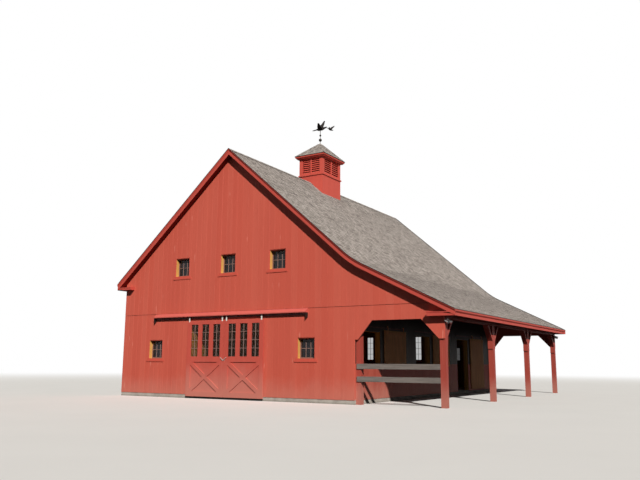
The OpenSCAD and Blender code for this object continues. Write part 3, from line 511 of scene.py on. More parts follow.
concrete = concrete_finish()
# The track steel is a dark red-brown: painted shade for the hollow under the hoods and the porch roof.
shaded_track_steel = metal_finish("track steel", (96, 50, 44), (66, 38, 34), 0.6, 0.3)
strap_metal = metal_finish("strap steel", (214, 214, 208), (176, 174, 168), 0.45, 0.35, 0.2)
vane_metal = metal_finish("vane iron", (58, 52, 48), (36, 34, 34), 0.55, 0.7, 0.4)
lamp_metal = metal_finish("lamp enamel", (246, 246, 242), (226, 226, 220), 0.3, 0.8, 0.1)
# The panes' dark tones are painted shade for the dim rooms behind the glass.
window_glass = glass_finish("window glass", (34, 32, 36), (58, 54, 58), 0.75)
door_glass = glass_finish("door glass", (48, 38, 32), (78, 62, 50), 0.32)

# %% [markdown]
# ### Windows with three finishes
#
# A window's lining is bare wood, its sash is chalky old paint and its sill and outer edges are
# wall red. They are one CAD node, so the depth behind the wall face tells the finish which is
# which.

# %% The windows' finish
SASH_IN, HAIR = 0.150, 0.0006


def window_finish():
    """Lining, sash and sill, told apart by their depth behind the wall's face; the head, looking down,
    is painted dark red as shade.
    """
    finish, tree, shader = start_finish("window wood", 0.7, specular=0.3)
    depth = maths(tree, "SUBTRACT", REAR_Y, from_middle(tree))
    outer = maths(tree, "LESS_THAN", depth, HAIR)
    deep = maths(tree, "GREATER_THAN", depth, SASH_IN - HAIR)
    bare, fine = wood_colour(tree, *TAN)
    # Faces of the lining that look down, the head, are painted dark red: painted shade.
    body = mixed(tree, maths(tree, "LESS_THAN", upward(tree), -0.5), bare, (104, 44, 34))
    body = mixed(tree, deep, body, (128, 92, 84))
    coat(tree, shader, mixed(tree, outer, body, (196, 82, 66)), fine, 0.3)
    return finish


window_wood = window_finish()
sash_paint = painted("sash paint", (150, 118, 108), (178, 148, 136), (116, 80, 72), 0.5)

# %% [markdown]
# Now the CAD nodes take their finishes. A node keeps its shape and its place; only the material
# in its slot changes.

# %% Finishes on the CAD nodes
NODE_FINISH = {
    concrete: ["foundation", "floor_slab"],
    wall_paint: ["front_wall_left", "front_wall_right", "front_gable", "rear_wall_left",
                 "rear_wall_right", "rear_gable", "left_wall", "stall_wall_piers",
                 "stall_wall_header", "porch_front_panel", "porch_rear_panel"],
    bare_wood: ["loft_floor"],
    roof_deck: ["roof_left", "roof_right"],
    shingles: ["ridge_cap", "cupola_roof"],
    trim_paint: ["front_rakes", "rear_rakes", "left_eave", "right_eave", "cupola_eaves"],
    hood_paint: ["front_track_hood", "rear_track_hood"],
    cupola_paint: ["cupola_base", "cupola_louvres"],
    vane_metal: ["vane_mast", "weathervane"],
    shaded_track_steel: ["door_tracks"],
    door_paint: ["front_door_left", "front_door_right", "rear_door_left", "rear_door_right"],
    door_glass: ["front_left_lights", "front_right_lights", "rear_left_lights", "rear_right_lights"],
    window_wood: ["upper_windows", "lower_windows"],
    window_glass: ["window_glass"],
    post_paint: ["porch_posts", "porch_beam", "knee_braces"],
    rail_wood: ["porch_rails"],
    stall_wood: ["stall_door_1", "stall_door_2", "stall_door_3"],
    lamp_metal: ["floodlights"],
}
for finish, names in NODE_FINISH.items():
    for name in names:
        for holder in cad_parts[name].material_slots:
            holder.material = finish
print("nodes with a finish:", sum(len(n) for n in NODE_FINISH.values()))

# %% [markdown]
# ## Siding, board by board
#
# The walls are sheathed in upright boards with a small bevel on both edges, so each joint shows as
# a fine V. A board is a six-sided outline carried from its foot to its head. Boards that meet a
# window are cut at its sides and split above and below it, and the head of each board follows
# the slope of the roof. All of this is done for the whole wall at once, as arrays.

# %% Boards on a wall
BOARD, BEVEL = 0.254, 0.003


def height_at(height, u):
    """A height along the wall: one number, or a function of u."""
    return height(u) if callable(height) else height + 0 * u


def upright_boards(name, u0, u1, low, high, wall, thick, holes=(), kinks=(), finish=siding_paint,
                   phase=0.0):
    """Upright boards from u0 to u1 along a wall, between the heights low and high.

    wall is (origin, along, out): a point at u = 0, the wall's direction and its outward normal.
    holes are (u0, u1, z0, z1). Each outline is (u, depth): the two edges carry a bevel. A row
    holds a board's u from and to, its foot and then its head at both, and its number."""
    joints = np.arange(u0 + phase, u1, BOARD)
    cuts = [*joints, u0, u1, *kinks, *(u for hole in holes for u in hole[:2])]
    cuts = np.array(sorted({round(float(v), 5) for v in cuts}))
    cuts = cuts[(cuts >= u0 - 1e-6) & (cuts <= u1 + 1e-6)]
    keep = np.diff(cuts) > 0.004
    a, b = cuts[:-1][keep], cuts[1:][keep]
    gap_a, gap_b = (0.001 * (np.abs(joints[:, None] - ends).min(0) < 1e-4) for ends in (a, b))
    board = np.searchsorted(joints, (a + b) / 2)
    edges = [height_at(height, u) for height in (low, high) for u in (a, b)]
    rows = np.stack([a + gap_a, b - gap_b, *edges, board], 1)
    for h0, h1, z0, z1 in holes:
        mid = (rows[:, 0] + rows[:, 1]) / 2
        hit = (mid > h0) & (mid < h1) & (rows[:, 2] < z1) & (rows[:, 4] > z0)
        above, below = rows[hit].copy(), rows[hit].copy()
        above[:, 2:4] = z1
        below[:, 4:6] = z0
        rows = np.concatenate([rows[~hit], above, below])
    rows = rows[np.maximum(rows[:, 4] - rows[:, 2], rows[:, 5] - rows[:, 3]) > 0.01]
    left, right = rows[:, 0], rows[:, 1]
    cut = np.minimum(BEVEL, (right - left) / 3)
    u = np.stack([left, left, left + cut, right - cut, right, right], 1)
    w = np.tile([0.0, thick - BEVEL, thick, thick, thick - BEVEL, 0.0], (len(rows), 1))
    share = (u - left[:, None]) / (right - left)[:, None]
    foot = rows[:, 2, None] * (1 - share) + rows[:, 3, None] * share
    head = rows[:, 4, None] * (1 - share) + rows[:, 5, None] * share
    origin, along, out = (np.array(v, float) for v in wall)
    flat = origin + u[..., None] * along + w[..., None] * out
    corners = np.concatenate([flat, flat], 1)
    corners[:, :6, 2] = foot
    corners[:, 6:, 2] = head
    faces = [(0, 5, 4, 3, 2, 1), (6, 7, 8, 9, 10, 11)]
    faces += [(i, (i + 1) % 6, (i + 1) % 6 + 6, i + 6) for i in range(6)]
    if np.cross(along, out)[2] > 0:
        faces = [f[::-1] for f in faces]
    tint = np.random.default_rng(7).random(4000)[rows[:, 6].astype(int)]
    return add_piece(name, corners, faces, finish, tint=tint)


# %% [markdown]
# The window holes are stated once, as they are in the frame: centre line, spacing, height. The front and
# the rear are the same drawing, so one loop lays both. A strip of flashing lies on the joint where the
# upper boards lap over the lower ones, just under the top of the loft floor; it is painted dark red as
# the shadow line under the lap.

# %% The two gable walls
UPPER_T, LOWER_T = 0.016, 0.013
LAP_Z, FOOT_Z = LOFT_Z - 0.012, BASE_Z - 0.03
WINDOW_X, WINDOW_HALF, WINDOW_H = LEFT_X + 5.435, 0.365, 0.750
DOOR_X, DOORWAY_HALF, DOORWAY_H = LEFT_X + 5.420, 1.773, 2.880


def window_hole(step, k, foot):
    """The k-th hole from the middle of a row: x from, x to, z from, z to."""
    middle = WINDOW_X + k * step
    return middle - WINDOW_HALF, middle + WINDOW_HALF, foot, foot + WINDOW_H


def end_wall(s):
    """Origin, direction and outward normal of the front (s = -1) or the rear wall (s = 1)."""
    return (0, s * REAR_Y, 0), (1, 0, 0), (0, s, 0)


UPPER = [window_hole(2.325, k, 4.725) for k in (-1, 0, 1)]
LOWER = [window_hole(3.600, k, 1.485) for k in (-1, 1)]
DOORWAY = (DOOR_X - DOORWAY_HALF, DOOR_X + DOORWAY_HALF, 0.0, DOORWAY_H)
for side, s in SIDES:
    upright_boards(f"{side}_upper_boards", LEFT_X, RIGHT_X, LOFT_Z, under_roof, end_wall(s), UPPER_T,
                   UPPER, kinks=[RIDGE_X, RIGHT_X - 0.46, RIGHT_X - 0.3, RIGHT_X - 0.15])
    upright_boards(f"{side}_lower_boards", LEFT_X, RIGHT_X, FOOT_Z, LAP_Z, end_wall(s), LOWER_T,
                   [*LOWER, DOORWAY])
    strip = (0, 0.019, LAP_Z, LAP_Z + 0.008)
    on_gable(f"{side}_flashing", s, [(LEFT_X - 0.004, LEFT_X + 1.80, *strip),
                                     (LEFT_X + 9.11, RIGHT_X + PORCH_W, *strip)], flashing_shade_paint)

# %% [markdown]
# The porch ends are boarded in the same plane. Their lower edge follows the opening with its two
# cut corners, so the height of a board's foot is read from a short table with np.interp.

# %% The porch end boards and the long walls
POST_OUT = RIGHT_X + PORCH_W
CUT_FOOT, CUT_TOP = 2.13, 2.763
CUT_X = [RIGHT_X, RIGHT_X + 0.123, RIGHT_X + 0.1231, RIGHT_X + 0.658, POST_X - 0.604, POST_X, POST_OUT]
CUT_Z = [CUT_FOOT, CUT_FOOT, CUT_FOOT, CUT_TOP, CUT_TOP, CUT_FOOT, CUT_FOOT]


def cut_corners(u):
    """Height of the porch end's lower edge at x = u."""
    return np.interp(u, CUT_X, CUT_Z)


def under_the_lap(u):
    """Height of the lower boards' heads at x = u: under the lap, and under the roof beyond it."""
    return np.minimum(LAP_Z, under_roof(u))


reach = np.linspace(RIGHT_X, POST_OUT, 801)
LOFT_END = float(reach[under_roof(reach) > LOFT_Z].max())
print("the porch's upper boards end at", round(LOFT_END, 3))
for side, s in SIDES:
    upright_boards(f"porch_{side}_boards_low", RIGHT_X, POST_OUT, cut_corners, under_the_lap,
                   end_wall(s), LOWER_T, kinks=[*CUT_X[1:-1], LOFT_END], phase=0.19)
    upright_boards(f"porch_{side}_boards_high", RIGHT_X, LOFT_END - 0.02, LOFT_Z, under_roof,
                   end_wall(s), UPPER_T, kinks=[RIGHT_X + 0.2, RIGHT_X + 0.4], phase=0.19)

LEFT = ((LEFT_X, 0, 0), (0, 1, 0), (-1, 0, 0))
upright_boards("left_upper_boards", FRONT_Y, REAR_Y, LOFT_Z, under_roof(LEFT_X), LEFT, UPPER_T)
upright_boards("left_lower_boards", FRONT_Y, REAR_Y, FOOT_Z, LAP_Z, LEFT, LOWER_T)

STALL_Y, STALL_STEP, STALL_W, STALL_TOP = FRONT_Y + 0.470, 4.570, 1.420, 2.450
STALLS = [(STALL_Y + k * STALL_STEP, STALL_Y + k * STALL_STEP + STALL_W, foot, STALL_TOP)
          for k, foot in enumerate((SILL_Z, SILL_Z, 0.0))]
STALL_WALL = ((RIGHT_X, 0, 0), (0, 1, 0), (1, 0, 0))
upright_boards("stall_wall_boards", FRONT_Y + 0.04, REAR_Y - 0.04, FOOT_Z, under_roof(RIGHT_X) - 0.02,
               STALL_WALL, 0.012, STALLS, finish=stall_wall_paint)

# %% [markdown]
# ## Shingles, tab by tab
#
# Shingles show as rows of tabs, each about 13 cm wide and 14 cm high. A tab is a thin wedge: its
# lower edge stands 9 mm above the roof and its upper edge slips under the next row. The corners
# of all the tabs on one slope come from two numbers, the row and the place in the row.

# %% Rows of tabs
TAB_W = 0.13
TAB_FACES = [(0, 1, 2, 3), (0, 4, 5, 1), (4, 3, 2, 5), (0, 3, 4), (1, 5, 2)]


def looking_up(faces, corners):
    """The faces, turned over where corners 0, 1 and 3 of the pieces would look down."""
    side = np.cross(corners[:, 1] - corners[:, 0], corners[:, 3] - corners[:, 0])[:, 2].mean()
    return [f[::-1] for f in faces] if side < 0 else faces


def shingle_tabs(name, slope, start, end, limits, seed, show=0.14, lift=0.009):
    """Wedge-shaped tabs on a slope, from distance start (top) to end (eave).

    slope(s, t, lift) gives points at distance s down, t across. limits(s) gives the lowest and
    highest t at s. Each row is moved along by 0.382 of a tab, so that no gaps line up."""
    rng = np.random.default_rng(seed)
    rows = int(math.ceil((end - start) / show))
    t0, t1 = limits(end)
    count = int(math.ceil((t1 - t0) / TAB_W)) + 2
    i, j = (v.reshape(-1) for v in np.meshgrid(np.arange(rows), np.arange(count), indexing="ij"))
    s_low = end - i * show
    s_top = np.maximum(s_low - show - 0.012, start)
    shift = t0 - TAB_W + (i * 0.382 % 1) * TAB_W + rng.normal(0, 0.02, rows)[i]
    a, b = shift + j * TAB_W + 0.002, shift + (j + 1) * TAB_W - 0.002
    low0, low1 = limits(s_low)
    top0, top1 = limits(s_top)
    al, bl = np.clip(a, low0, low1), np.clip(b, low0, low1)
    at, bt = np.clip(a, top0, top1), np.clip(b, top0, top1)
    keep = (bl - al > 0.006) & (s_low - s_top > 0.02)
    s_low, s_top, al, bl, at, bt = (v[keep] for v in (s_low, s_top, al, bl, at, bt))
    raised = lift + rng.normal(0, 0.0008, len(s_low))
    corners = np.stack([
        slope(s_low, al, raised), slope(s_low, bl, raised), slope(s_top, bt, 0.0015),
        slope(s_top, at, 0.0015), slope(s_low, al, 0.0005), slope(s_low, bl, 0.0005)], 1)
    tint = np.clip(rng.normal(0.48, 0.30, len(s_low)), 0, 1)
    return add_piece(name, corners, looking_up(TAB_FACES, corners), shingles, tint=tint)


def main_slope(line):
    """Points on one side of the main roof: s runs down the roof's line, t is Y."""
    def at(s, t, lift):
        x, z = on_roof(line, s, lift)
        return np.stack([x, t + 0 * x, z], -1)
    return at


def rake_to_rake(s):
    """The roof is as long at every height."""
    return RAKE_Y + 0 * s, -RAKE_Y + 0 * s


for hand, line, back, seed in (("right", RIGHT_LINE, 0.006, 3), ("left", LEFT_LINE, 0.014, 5)):
    shingle_tabs(f"{hand}_shingles", main_slope(line), 0.03, line[0][-1] - back, rake_to_rake, seed)

# %% [markdown]
# A doubled starter course runs up the rakes and along the eaves. Its cut edge looks sideways, so the
# shingle finish paints it near-black, partly as dark asphalt and partly as painted shade, and from the
# ground it is the thin dark line that outlines the roof. It is a flat bar that follows the roof's line:
# at each station along the line there are four corners, and quads join each station to the next.

# %% Sections carried along a path
def sweep(name, sections, finish, body="barn"):
    """A solid through n sections of m points each: an (n, m, 3) array. Quads join each section to
    the next, and the first and the last are filled. If the solid's volume comes out negative, its
    faces look inwards and are turned."""
    sections = np.asarray(sections, float)
    n, m = sections.shape[:2]
    faces = [tuple(range(m)), tuple((n - 1) * m + k for k in range(m))[::-1]]
    for k in range(0, (n - 1) * m, m):
        faces += [(k + c, k + m + c, k + m + (c + 1) % m, k + (c + 1) % m) for c in range(m)]
    points = sections.reshape(-1, 3) - sections.mean((0, 1))
    volume = sum(np.dot(points[f[0]], np.cross(points[f[i]], points[f[i + 1]]))
                 for f in faces for i in range(1, len(f) - 1))
    if volume < 0:
        faces = [f[::-1] for f in faces]
    return add_piece(name, sections.reshape(1, -1, 3), faces, finish, body)


def bar_along(name, low, high, y0, y1, finish):
    """A bar whose lower and upper lines are (n, 2) arrays of x, z, and which runs from y0 to y1."""
    near, far = np.full(len(low), y0), np.full(len(low), y1)
    corners = [np.stack([line[:, 0], y, line[:, 1]], 1)
               for line, y in ((low, near), (low, far), (high, far), (high, near))]
    return sweep(name, np.stack(corners, 1), finish)


STARTER_T, STARTER_W = 0.030, 0.032
STARTER_Y = RAKE_Y + STARTER_W
for side, line in (("right", RIGHT_LINE), ("left", LEFT_LINE)):
    reach = line[0] * (1 - 0.0012 / line[0][-1])
    low, high = (np.stack(on_roof(line, reach, lift), 1) for lift in (0.0005, STARTER_T))
    high[-1, 0] = low[-1, 0]
    for end, y0, y1 in (("front", RAKE_Y, STARTER_Y), ("rear", -STARTER_Y, -RAKE_Y)):
        bar_along(f"{side}_starter_{end}", low, high, y0, y1, shingles)
    way = (low[-1] - low[-2]) / np.linalg.norm(low[-1] - low[-2])
    low, high = (np.stack([end - way * 0.03, end]) for end in (low[-1], high[-1] - (0, 0.004)))
    bar_along(f"{side}_starter_eave", low, high, STARTER_Y, -STARTER_Y, shingles)

# %% [markdown]
# ### Cove mouldings
#
# The rake boards carry a shingle mould with a hollow face. It is the same paint, but on the right
# slope the hollow looks down and away from the sun, so it shows as a dark band over a bright
# board; on the left slope it is only a little darker. That comes from its shape, so the moulding is
# modelled: its section is a square lip, a slanted face that runs out in a quarter of an ellipse,
# and the flat board, carried along the roof's line. At the ridge both sides end in the plane
# x = ridge, and at the eave they end in a plumb cut, so the first and the last point of every
# line are set there.

# %% The rakes
quarter = np.linspace(0, math.pi / 2, 7)
COVE = np.concatenate([
    [(0.000, 0.2552), (0.000, 0.300), (0.008, 0.300), (0.056, 0.270)],
    np.stack([0.070 - 0.014 * np.cos(quarter), 0.270 - 0.005 * np.sin(quarter)], 1)[1:],
    [(TRIM_DEPTH, 0.265), (TRIM_DEPTH, 0.2552)]])


def rake_sections(line, end_x, end_pitch, face):
    """The cove's section at the ridge, along the slope and at the eave; face is -1 or 1."""
    down = line[0]
    along = down[(down > 0.35) & (down < down[-1] - 0.12)][::3]
    sections = []
    for depth, out in COVE:
        x, z = on_roof(line, along, -depth)
        top, foot = RIDGE_Z - depth / math.cos(MAIN_PITCH), line[2][-1] - depth / math.cos(end_pitch)
        x, z = np.concatenate([[RIDGE_X], x, [end_x]]), np.concatenate([[top], z, [foot]])
        sections.append(np.stack([x, np.full(len(x), face * (REAR_Y + out)), z], 1))
    return np.stack(sections, 1)


for side, s in SIDES:
    for hand, *slope in (("right", RIGHT_LINE, EAVE_X, PORCH_PITCH),
                         ("left", LEFT_LINE, LEFT_EAVE_X, MAIN_PITCH)):
        piece = sweep(f"{side}_rake_{hand}", rake_sections(*slope, s), trim_paint)
        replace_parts(piece, f"{side}_rakes")

# %% [markdown]
# ### Eaves and their boxed ends
#
# The porch eave is two boards deep: the upper one overhangs, a slanted face runs back under it and
# the lower one stands in its shade. At each end a boxed return carries the eave a short way along
# the gable wall, with a narrow strip along its face. The left eave is one board with a soffit and
# slimmer returns.

# %% The two eaves
E, L = EAVE_X, LEFT_EAVE_X
OUT = 0.2545
BOARD_T, SOFFIT_T = 0.0446, 0.022
top_z, left_z = RIGHT_LINE[2][-1], LEFT_LINE[2][-1]
foot_z = top_z - TRIM_DEPTH / math.cos(PORCH_PITCH)
left_foot = left_z - TRIM_DEPTH / math.cos(MAIN_PITCH)
slab_z = top_z - 0.1505 / math.cos(PORCH_PITCH)


def along_y(profile, ends):
    """The same x, z profile at each y of ends."""
    return [np.insert(np.array(profile), 1, y, axis=1) for y in ends]


right_board = [(E, top_z), (E, top_z - 0.048), (E - 0.036, top_z - 0.098), (E - 0.034, top_z - 0.104),
               (E - 0.034, foot_z), (E - BOARD_T, foot_z),
               (E - BOARD_T, top_z + BOARD_T * math.tan(PORCH_PITCH))]
left_board = [(L, left_z), (L, left_foot), (LEFT_X, left_foot), (LEFT_X, left_foot + SOFFIT_T),
              (L + 0.0246, left_foot + SOFFIT_T), (L + 0.0246, left_z + 0.0246 * math.tan(MAIN_PITCH))]
porch_box = [(E - 0.046, foot_z), (E - 0.950, foot_z), (E - 0.950, foot_z + 0.170),
             (E - 0.046, slab_z + 0.046 * math.tan(PORCH_PITCH))]
left_box = [np.array([(L + 0.0005, left_foot), (L + 0.750, left_foot), (L + 0.750, left_foot + h),
                      (L + h, left_foot + h), (L + 0.0260, left_foot + 0.0400)])
            for h in (0.105, 0.150)]
strips = [(x0, x1, OUT, OUT + 0.010, z, z + 0.026) for x0, x1, z in (
    (E - 0.960, E - 0.060, foot_z + 0.104), (L + 0.110, L + 0.760, left_foot + 0.078))]
along_eave = (FRONT_Y - OUT, REAR_Y + OUT)
pieces = {"right_eave": [sweep("right_eave_boards", along_y(right_board, along_eave), trim_paint)],
          "left_eave": [sweep("left_eave_boards", along_y(left_board, along_eave), trim_paint)]}
for side, s in SIDES:
    far, near = s * (REAR_Y + OUT), s * (REAR_Y + 0.0005)
    left_ends = [np.insert(box, 1, y, axis=1) for box, y in zip(left_box, (far, near))]
    porch_ends = along_y(porch_box, (far, near))
    pieces["right_eave"].append(sweep(f"{side}_porch_return", porch_ends, trim_paint))
    pieces["left_eave"].append(sweep(f"{side}_left_return", left_ends, trim_paint))
    on_gable(f"{side}_return_strips", s, strips, trim_paint)
for node, dressed in pieces.items():
    for piece in dressed:
        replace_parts(piece, node)

# %% [markdown]
# The ridge and the hips of the cupola are covered by small folded pieces, laid like scales along a
# line. Each has two wings; its front edge is raised over the one before it.

# %% Folded pieces along a line
CAP_FACES = [(0, 1, 4, 3), (1, 2, 5, 4), (0, 3, 9, 6), (2, 8, 11, 5), (0, 6, 7, 1), (1, 7, 8, 2),
             (3, 4, 10, 9), (4, 5, 11, 10), (6, 9, 10, 7), (7, 10, 11, 8)]


def folded_caps(name, start, end, wings, base, seed, width=0.14, show=0.14, thick=0.005):
    """Folded shingles from start to end; wings are the directions of the two wings.

    Both edges of a piece lie at base above the line; the leading edge is thick + 5 mm higher."""
    start, end = np.array(start, float), np.array(end, float)
    wing_a, wing_b = (np.array(v, float) / np.linalg.norm(v) for v in wings)
    length = np.linalg.norm(end - start)
    way = (end - start) / length
    up = -(wing_a + wing_b)
    up -= way * up.dot(way)
    up /= np.linalg.norm(up)
    n = max(1, int(round(length / show)))
    k = np.arange(n)[:, None]
    lead = start + way * show * k
    tail = start + way * np.minimum(show * (k + 1.15), length)
    across = (wing_a * width, 0, wing_b * width)
    high, rear, low = (up * (base + lift) for lift in (thick + 0.005, thick, 0))
    corners = np.stack([end + wing + lift
                        for end, lift in ((lead, high), (tail, rear), (lead, low), (tail, low))
                        for wing in across], 1)
    tint = np.random.default_rng(seed).random(n)
    return add_piece(name, corners, looking_up(CAP_FACES, corners), shingles, tint=tint)


slope_left, slope_right = ((h * math.cos(MAIN_PITCH), 0, -math.sin(MAIN_PITCH)) for h in (-1, 1))
body_lo, body_hi = (np.array(v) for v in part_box("cupola_louvres"))
CAP_LIFT = 0.0235
folded_caps("ridge_shingles_front", (RIDGE_X, RAKE_Y, RIDGE_Z), (RIDGE_X, body_lo[1], RIDGE_Z),
            (slope_left, slope_right), CAP_LIFT, seed=11)
folded_caps("ridge_shingles_rear", (RIDGE_X, -RAKE_Y, RIDGE_Z), (RIDGE_X, body_hi[1], RIDGE_Z),
            (slope_right, slope_left), CAP_LIFT, seed=12)

# %% [markdown]
# The cupola's roof is a pyramid. Its four faces narrow towards the tip, so the limits of a row
# shrink with the height; the same tab function lays them.

# %% The cupola's roof
pyr_lo, pyr_hi = (np.array(v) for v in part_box("cupola_roof"))
CUP_X, CUP_Y = RIDGE_X, (pyr_lo[1] + pyr_hi[1]) / 2
EDGE_Z, TIP_Z = pyr_lo[2] + 0.014, pyr_lo[2] + 0.834
HALF_X, HALF_Y = (pyr_hi[0] - pyr_lo[0]) / 2, (pyr_hi[1] - pyr_lo[1]) / 2


def pyramid_face(half_out, half_side, out):
    """slope, limits and length of one face: half_out from the middle to its eave, 2 half_side wide."""
    drop = TIP_Z - EDGE_Z
    long = math.hypot(half_out, drop)
    out = np.array(out, float)
    across = np.array([-out[1], out[0], 0])
    normal = out * drop / long + np.array([0, 0, half_out / long])

    def at(s, t, lift):
        s, t, lift = np.broadcast_arrays(s, t, lift)
        middle = np.array([CUP_X, CUP_Y, TIP_Z])
        return (middle + (s / long)[:, None] * (out * half_out - np.array([0, 0, drop]))
                + t[:, None] * across + lift[:, None] * normal)

    def limits(s):
        return -half_side * s / long, half_side * s / long
    return at, limits, long


for name, *face in (("front", HALF_Y, HALF_X, (0, -1, 0)), ("rear", HALF_Y, HALF_X, (0, 1, 0)),
                    ("left", HALF_X, HALF_Y, (-1, 0, 0)), ("right", HALF_X, HALF_Y, (1, 0, 0))):
    at, limits, long = pyramid_face(*face)
    shingle_tabs(f"cupola_shingles_{name}", at, 0.05, long - 0.004, limits, len(name), 0.125, 0.008)
CORNERS = ((-1, -1), (1, -1), (1, 1), (-1, 1))
for i, (sx, sy) in enumerate(CORNERS):
    foot = np.array([CUP_X + sx * HALF_X, CUP_Y + sy * HALF_Y, EDGE_Z])
    way = np.array([CUP_X, CUP_Y, TIP_Z]) - foot
    wing_x = np.cross(way, (0, sy * (TIP_Z - EDGE_Z), HALF_Y))
    wing_y = np.cross(way, (sx * (TIP_Z - EDGE_Z), 0, HALF_X))
    wing_x *= -np.sign(wing_x[0] * sx)
    wing_y *= -np.sign(wing_y[1] * sy)
    folded_caps(f"cupola_hip_{i}", foot, foot + way * 0.93, (wing_x, wing_y), 0.006, 20 + i,
                width=0.055, show=0.125, thick=0.004)

# %% [markdown]
# The cupola's eave has the same hollow under a flat band. Seen level by level it is a stack of
# rectangles that grow outwards, so the sections here run upwards.

# %% The cupola's boxed eave
eave_lo, eave_hi = (np.array(v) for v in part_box("cupola_eaves"))
grow = np.concatenate([-0.048 * np.cos(quarter), [0.0]])
rise = np.concatenate([0.050 * np.sin(quarter), [eave_hi[2] - eave_lo[2]]])
half = (eave_hi - eave_lo)[:2] / 2
rings = [np.column_stack([CORNERS * (half + g) + (CUP_X, CUP_Y), np.full(4, eave_lo[2] + up)])
         for g, up in zip(grow, rise)]
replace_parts(sweep("cupola_boxed_eave", rings, trim_paint), "cupola_eaves")

# %% [markdown]
# Behind the louvres hangs insect screen, so that no daylight shows through the cupola. Four thin sheets
# stand just behind the slats; their dark red-brown is painted shade for the gaps between the slats.

# %% Screens behind the louvres
inset, sheet = 0.086, 0.003
a, b = body_lo + (inset, inset, 0.012), body_hi - (inset, inset, 0.003)
# The cloth's dark red-brown is painted shade, seen in the gaps between the slats.
shaded_screen_cloth = metal_finish("screen cloth", (128, 48, 40), (96, 36, 32), 0.8, 0.0, 0.3)
inner_a, inner_b = a[1] + sheet, b[1] - sheet
low = [a, (a[0], inner_b, a[2]), (a[0], inner_a, a[2]), (b[0] - sheet, inner_a, a[2])]
high = [(b[0], inner_a, b[2]), b, (a[0] + sheet, inner_b, b[2]), (b[0], inner_b, b[2])]
add_boxes("cupola_screens", low, high, shaded_screen_cloth)

# %% [markdown]
# ## Bars in the doors and windows
#
# Each tall light has one upright bar and three level ones; each window sash has two upright bars
# and one level one. Bars are thin boxes with softened edges, worked out for all panes at once.

# %% Bars
def bar_piece(name, s, panes, columns, rows, wide, outs, body):
    """Bars that divide panes (x0, x1, z0, z1) into columns and rows, between two places out."""
    x0, x1, z0, z1 = np.array(panes, float).T
    out0, out1 = (np.full(len(x0), out) for out in outs)
    spans = []
    for k in range(1, columns):
        x = x0 + (x1 - x0) * k / columns
        spans.append(np.stack([x - wide / 2, x + wide / 2, out0, out1, z0, z1], 1))
    for k in range(1, rows):
        z = z0 + (z1 - z0) * k / rows
        spans.append(np.stack([x0, x1, out0, out1, z - wide / 2, z + wide / 2], 1))
    piece = on_gable(name, s, np.concatenate(spans), sash_paint, body, bevel=0.003)


LEAF, STILE, LIGHT_Z0, LIGHT_Z1 = 1.829, 0.190, 1.576, 2.795
LIGHT = (LEAF - 4 * STILE) / 3
SASH = 0.064
for side, s in SIDES:
    for hand, leaf_x in (("left", DOOR_X - 0.004 - LEAF), ("right", DOOR_X + 0.004)):
        starts = leaf_x + STILE + np.arange(3) * (LIGHT + STILE)
        lights = [(x, x + LIGHT, LIGHT_Z0, LIGHT_Z1) for x in starts]
        bar_piece(f"{side}_{hand}_door_bars", s, lights, 2, 4, 0.017, (0.0665, 0.086),
                  f"{side}_door_{hand}")
    sashes = np.array(UPPER + LOWER) + (SASH, -SASH, SASH, -SASH)
    bar_piece(f"{side}_window_bars", s, sashes, 3, 2, 0.016, (-SASH_IN - 0.002, -SASH_IN - 0.032),
              "barn")

# %% [markdown]
# ## Hooks, latch plates and track stops
#
# Each leaf has a slanting hook of bent rod and a small plate where the two leaves meet. A bent
# rod is a circle carried along a path: at every point of the path the circle stands square to
# the direction halfway between the two neighbouring lengths. A dark stop hangs at each end of the
# tracks, under the ends of the hood.

# %% Bent rods
HOOK_Z = 1.480
LEAF_OUT = 0.095


def rod(name, path, radius, finish, body):
    """A round rod through the points of path, with flat ends."""
    way = np.gradient(path, axis=0)
    way /= np.linalg.norm(way, axis=1)[:, None]
    start = np.cross(way[0], (0.31, 0.55, 0.77))
    first = np.cross(way, np.cross(start, way))
    first /= np.linalg.norm(first, axis=1)[:, None]
    second = np.cross(way, first)
    turn = np.linspace(0, 2 * math.pi, 10, endpoint=False)[None, :, None]
    rings = path[:, None] + radius * (np.cos(turn) * first[:, None] + np.sin(turn) * second[:, None])
    return sweep(name, rings, finish, body)


reach = np.array([0.0, 0.7, 1.0, 1.0, 1.0, 1.0, 0.7, 0.0])
share = np.array([0.0, 0.0, 0.08, 0.35, 0.65, 0.92, 1.0, 1.0])
for side, s in SIDES:
    for hand, h in (("left", -1), ("right", 1)):
        body = f"{side}_door_{hand}"
        bend = np.stack([DOOR_X + h * (0.016 + 0.115 * share), s * (REAR_Y + LEAF_OUT + 0.030 * reach),
                         HOOK_Z - 0.04 + 0.095 * share], 1)
        rod(f"{side}_{hand}_hook", bend, 0.008, strap_metal, body)
        x0, x1 = sorted((DOOR_X + h * 0.010, DOOR_X + h * 0.055))
        plate = (x0, x1, LEAF_OUT, LEAF_OUT + 0.004, HOOK_Z - 0.055, HOOK_Z - 0.02)
        on_gable(f"{side}_{hand}_latch", s, [plate], strap_metal, body, bevel=0.001)
    hood_lo, hood_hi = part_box(f"{side}_track_hood")
    ends = (hood_lo[0] + 0.003, hood_hi[0] - 0.015)
    stops = [(x, x + 0.012, 0.018, 0.150, 2.930, 3.100) for x in ends]
    on_gable(f"{side}_track_stops", s, stops, vane_metal)

# %% [markdown]
# ## The track hoods
#
# The hood over each track is a sloping board with a narrow front edge, closed by a board at both
# ends, and the track hangs in its shade. The lower edge stands high enough to show the tops of
# the hangers, so the hood is made here and stands for the CAD's deeper one.

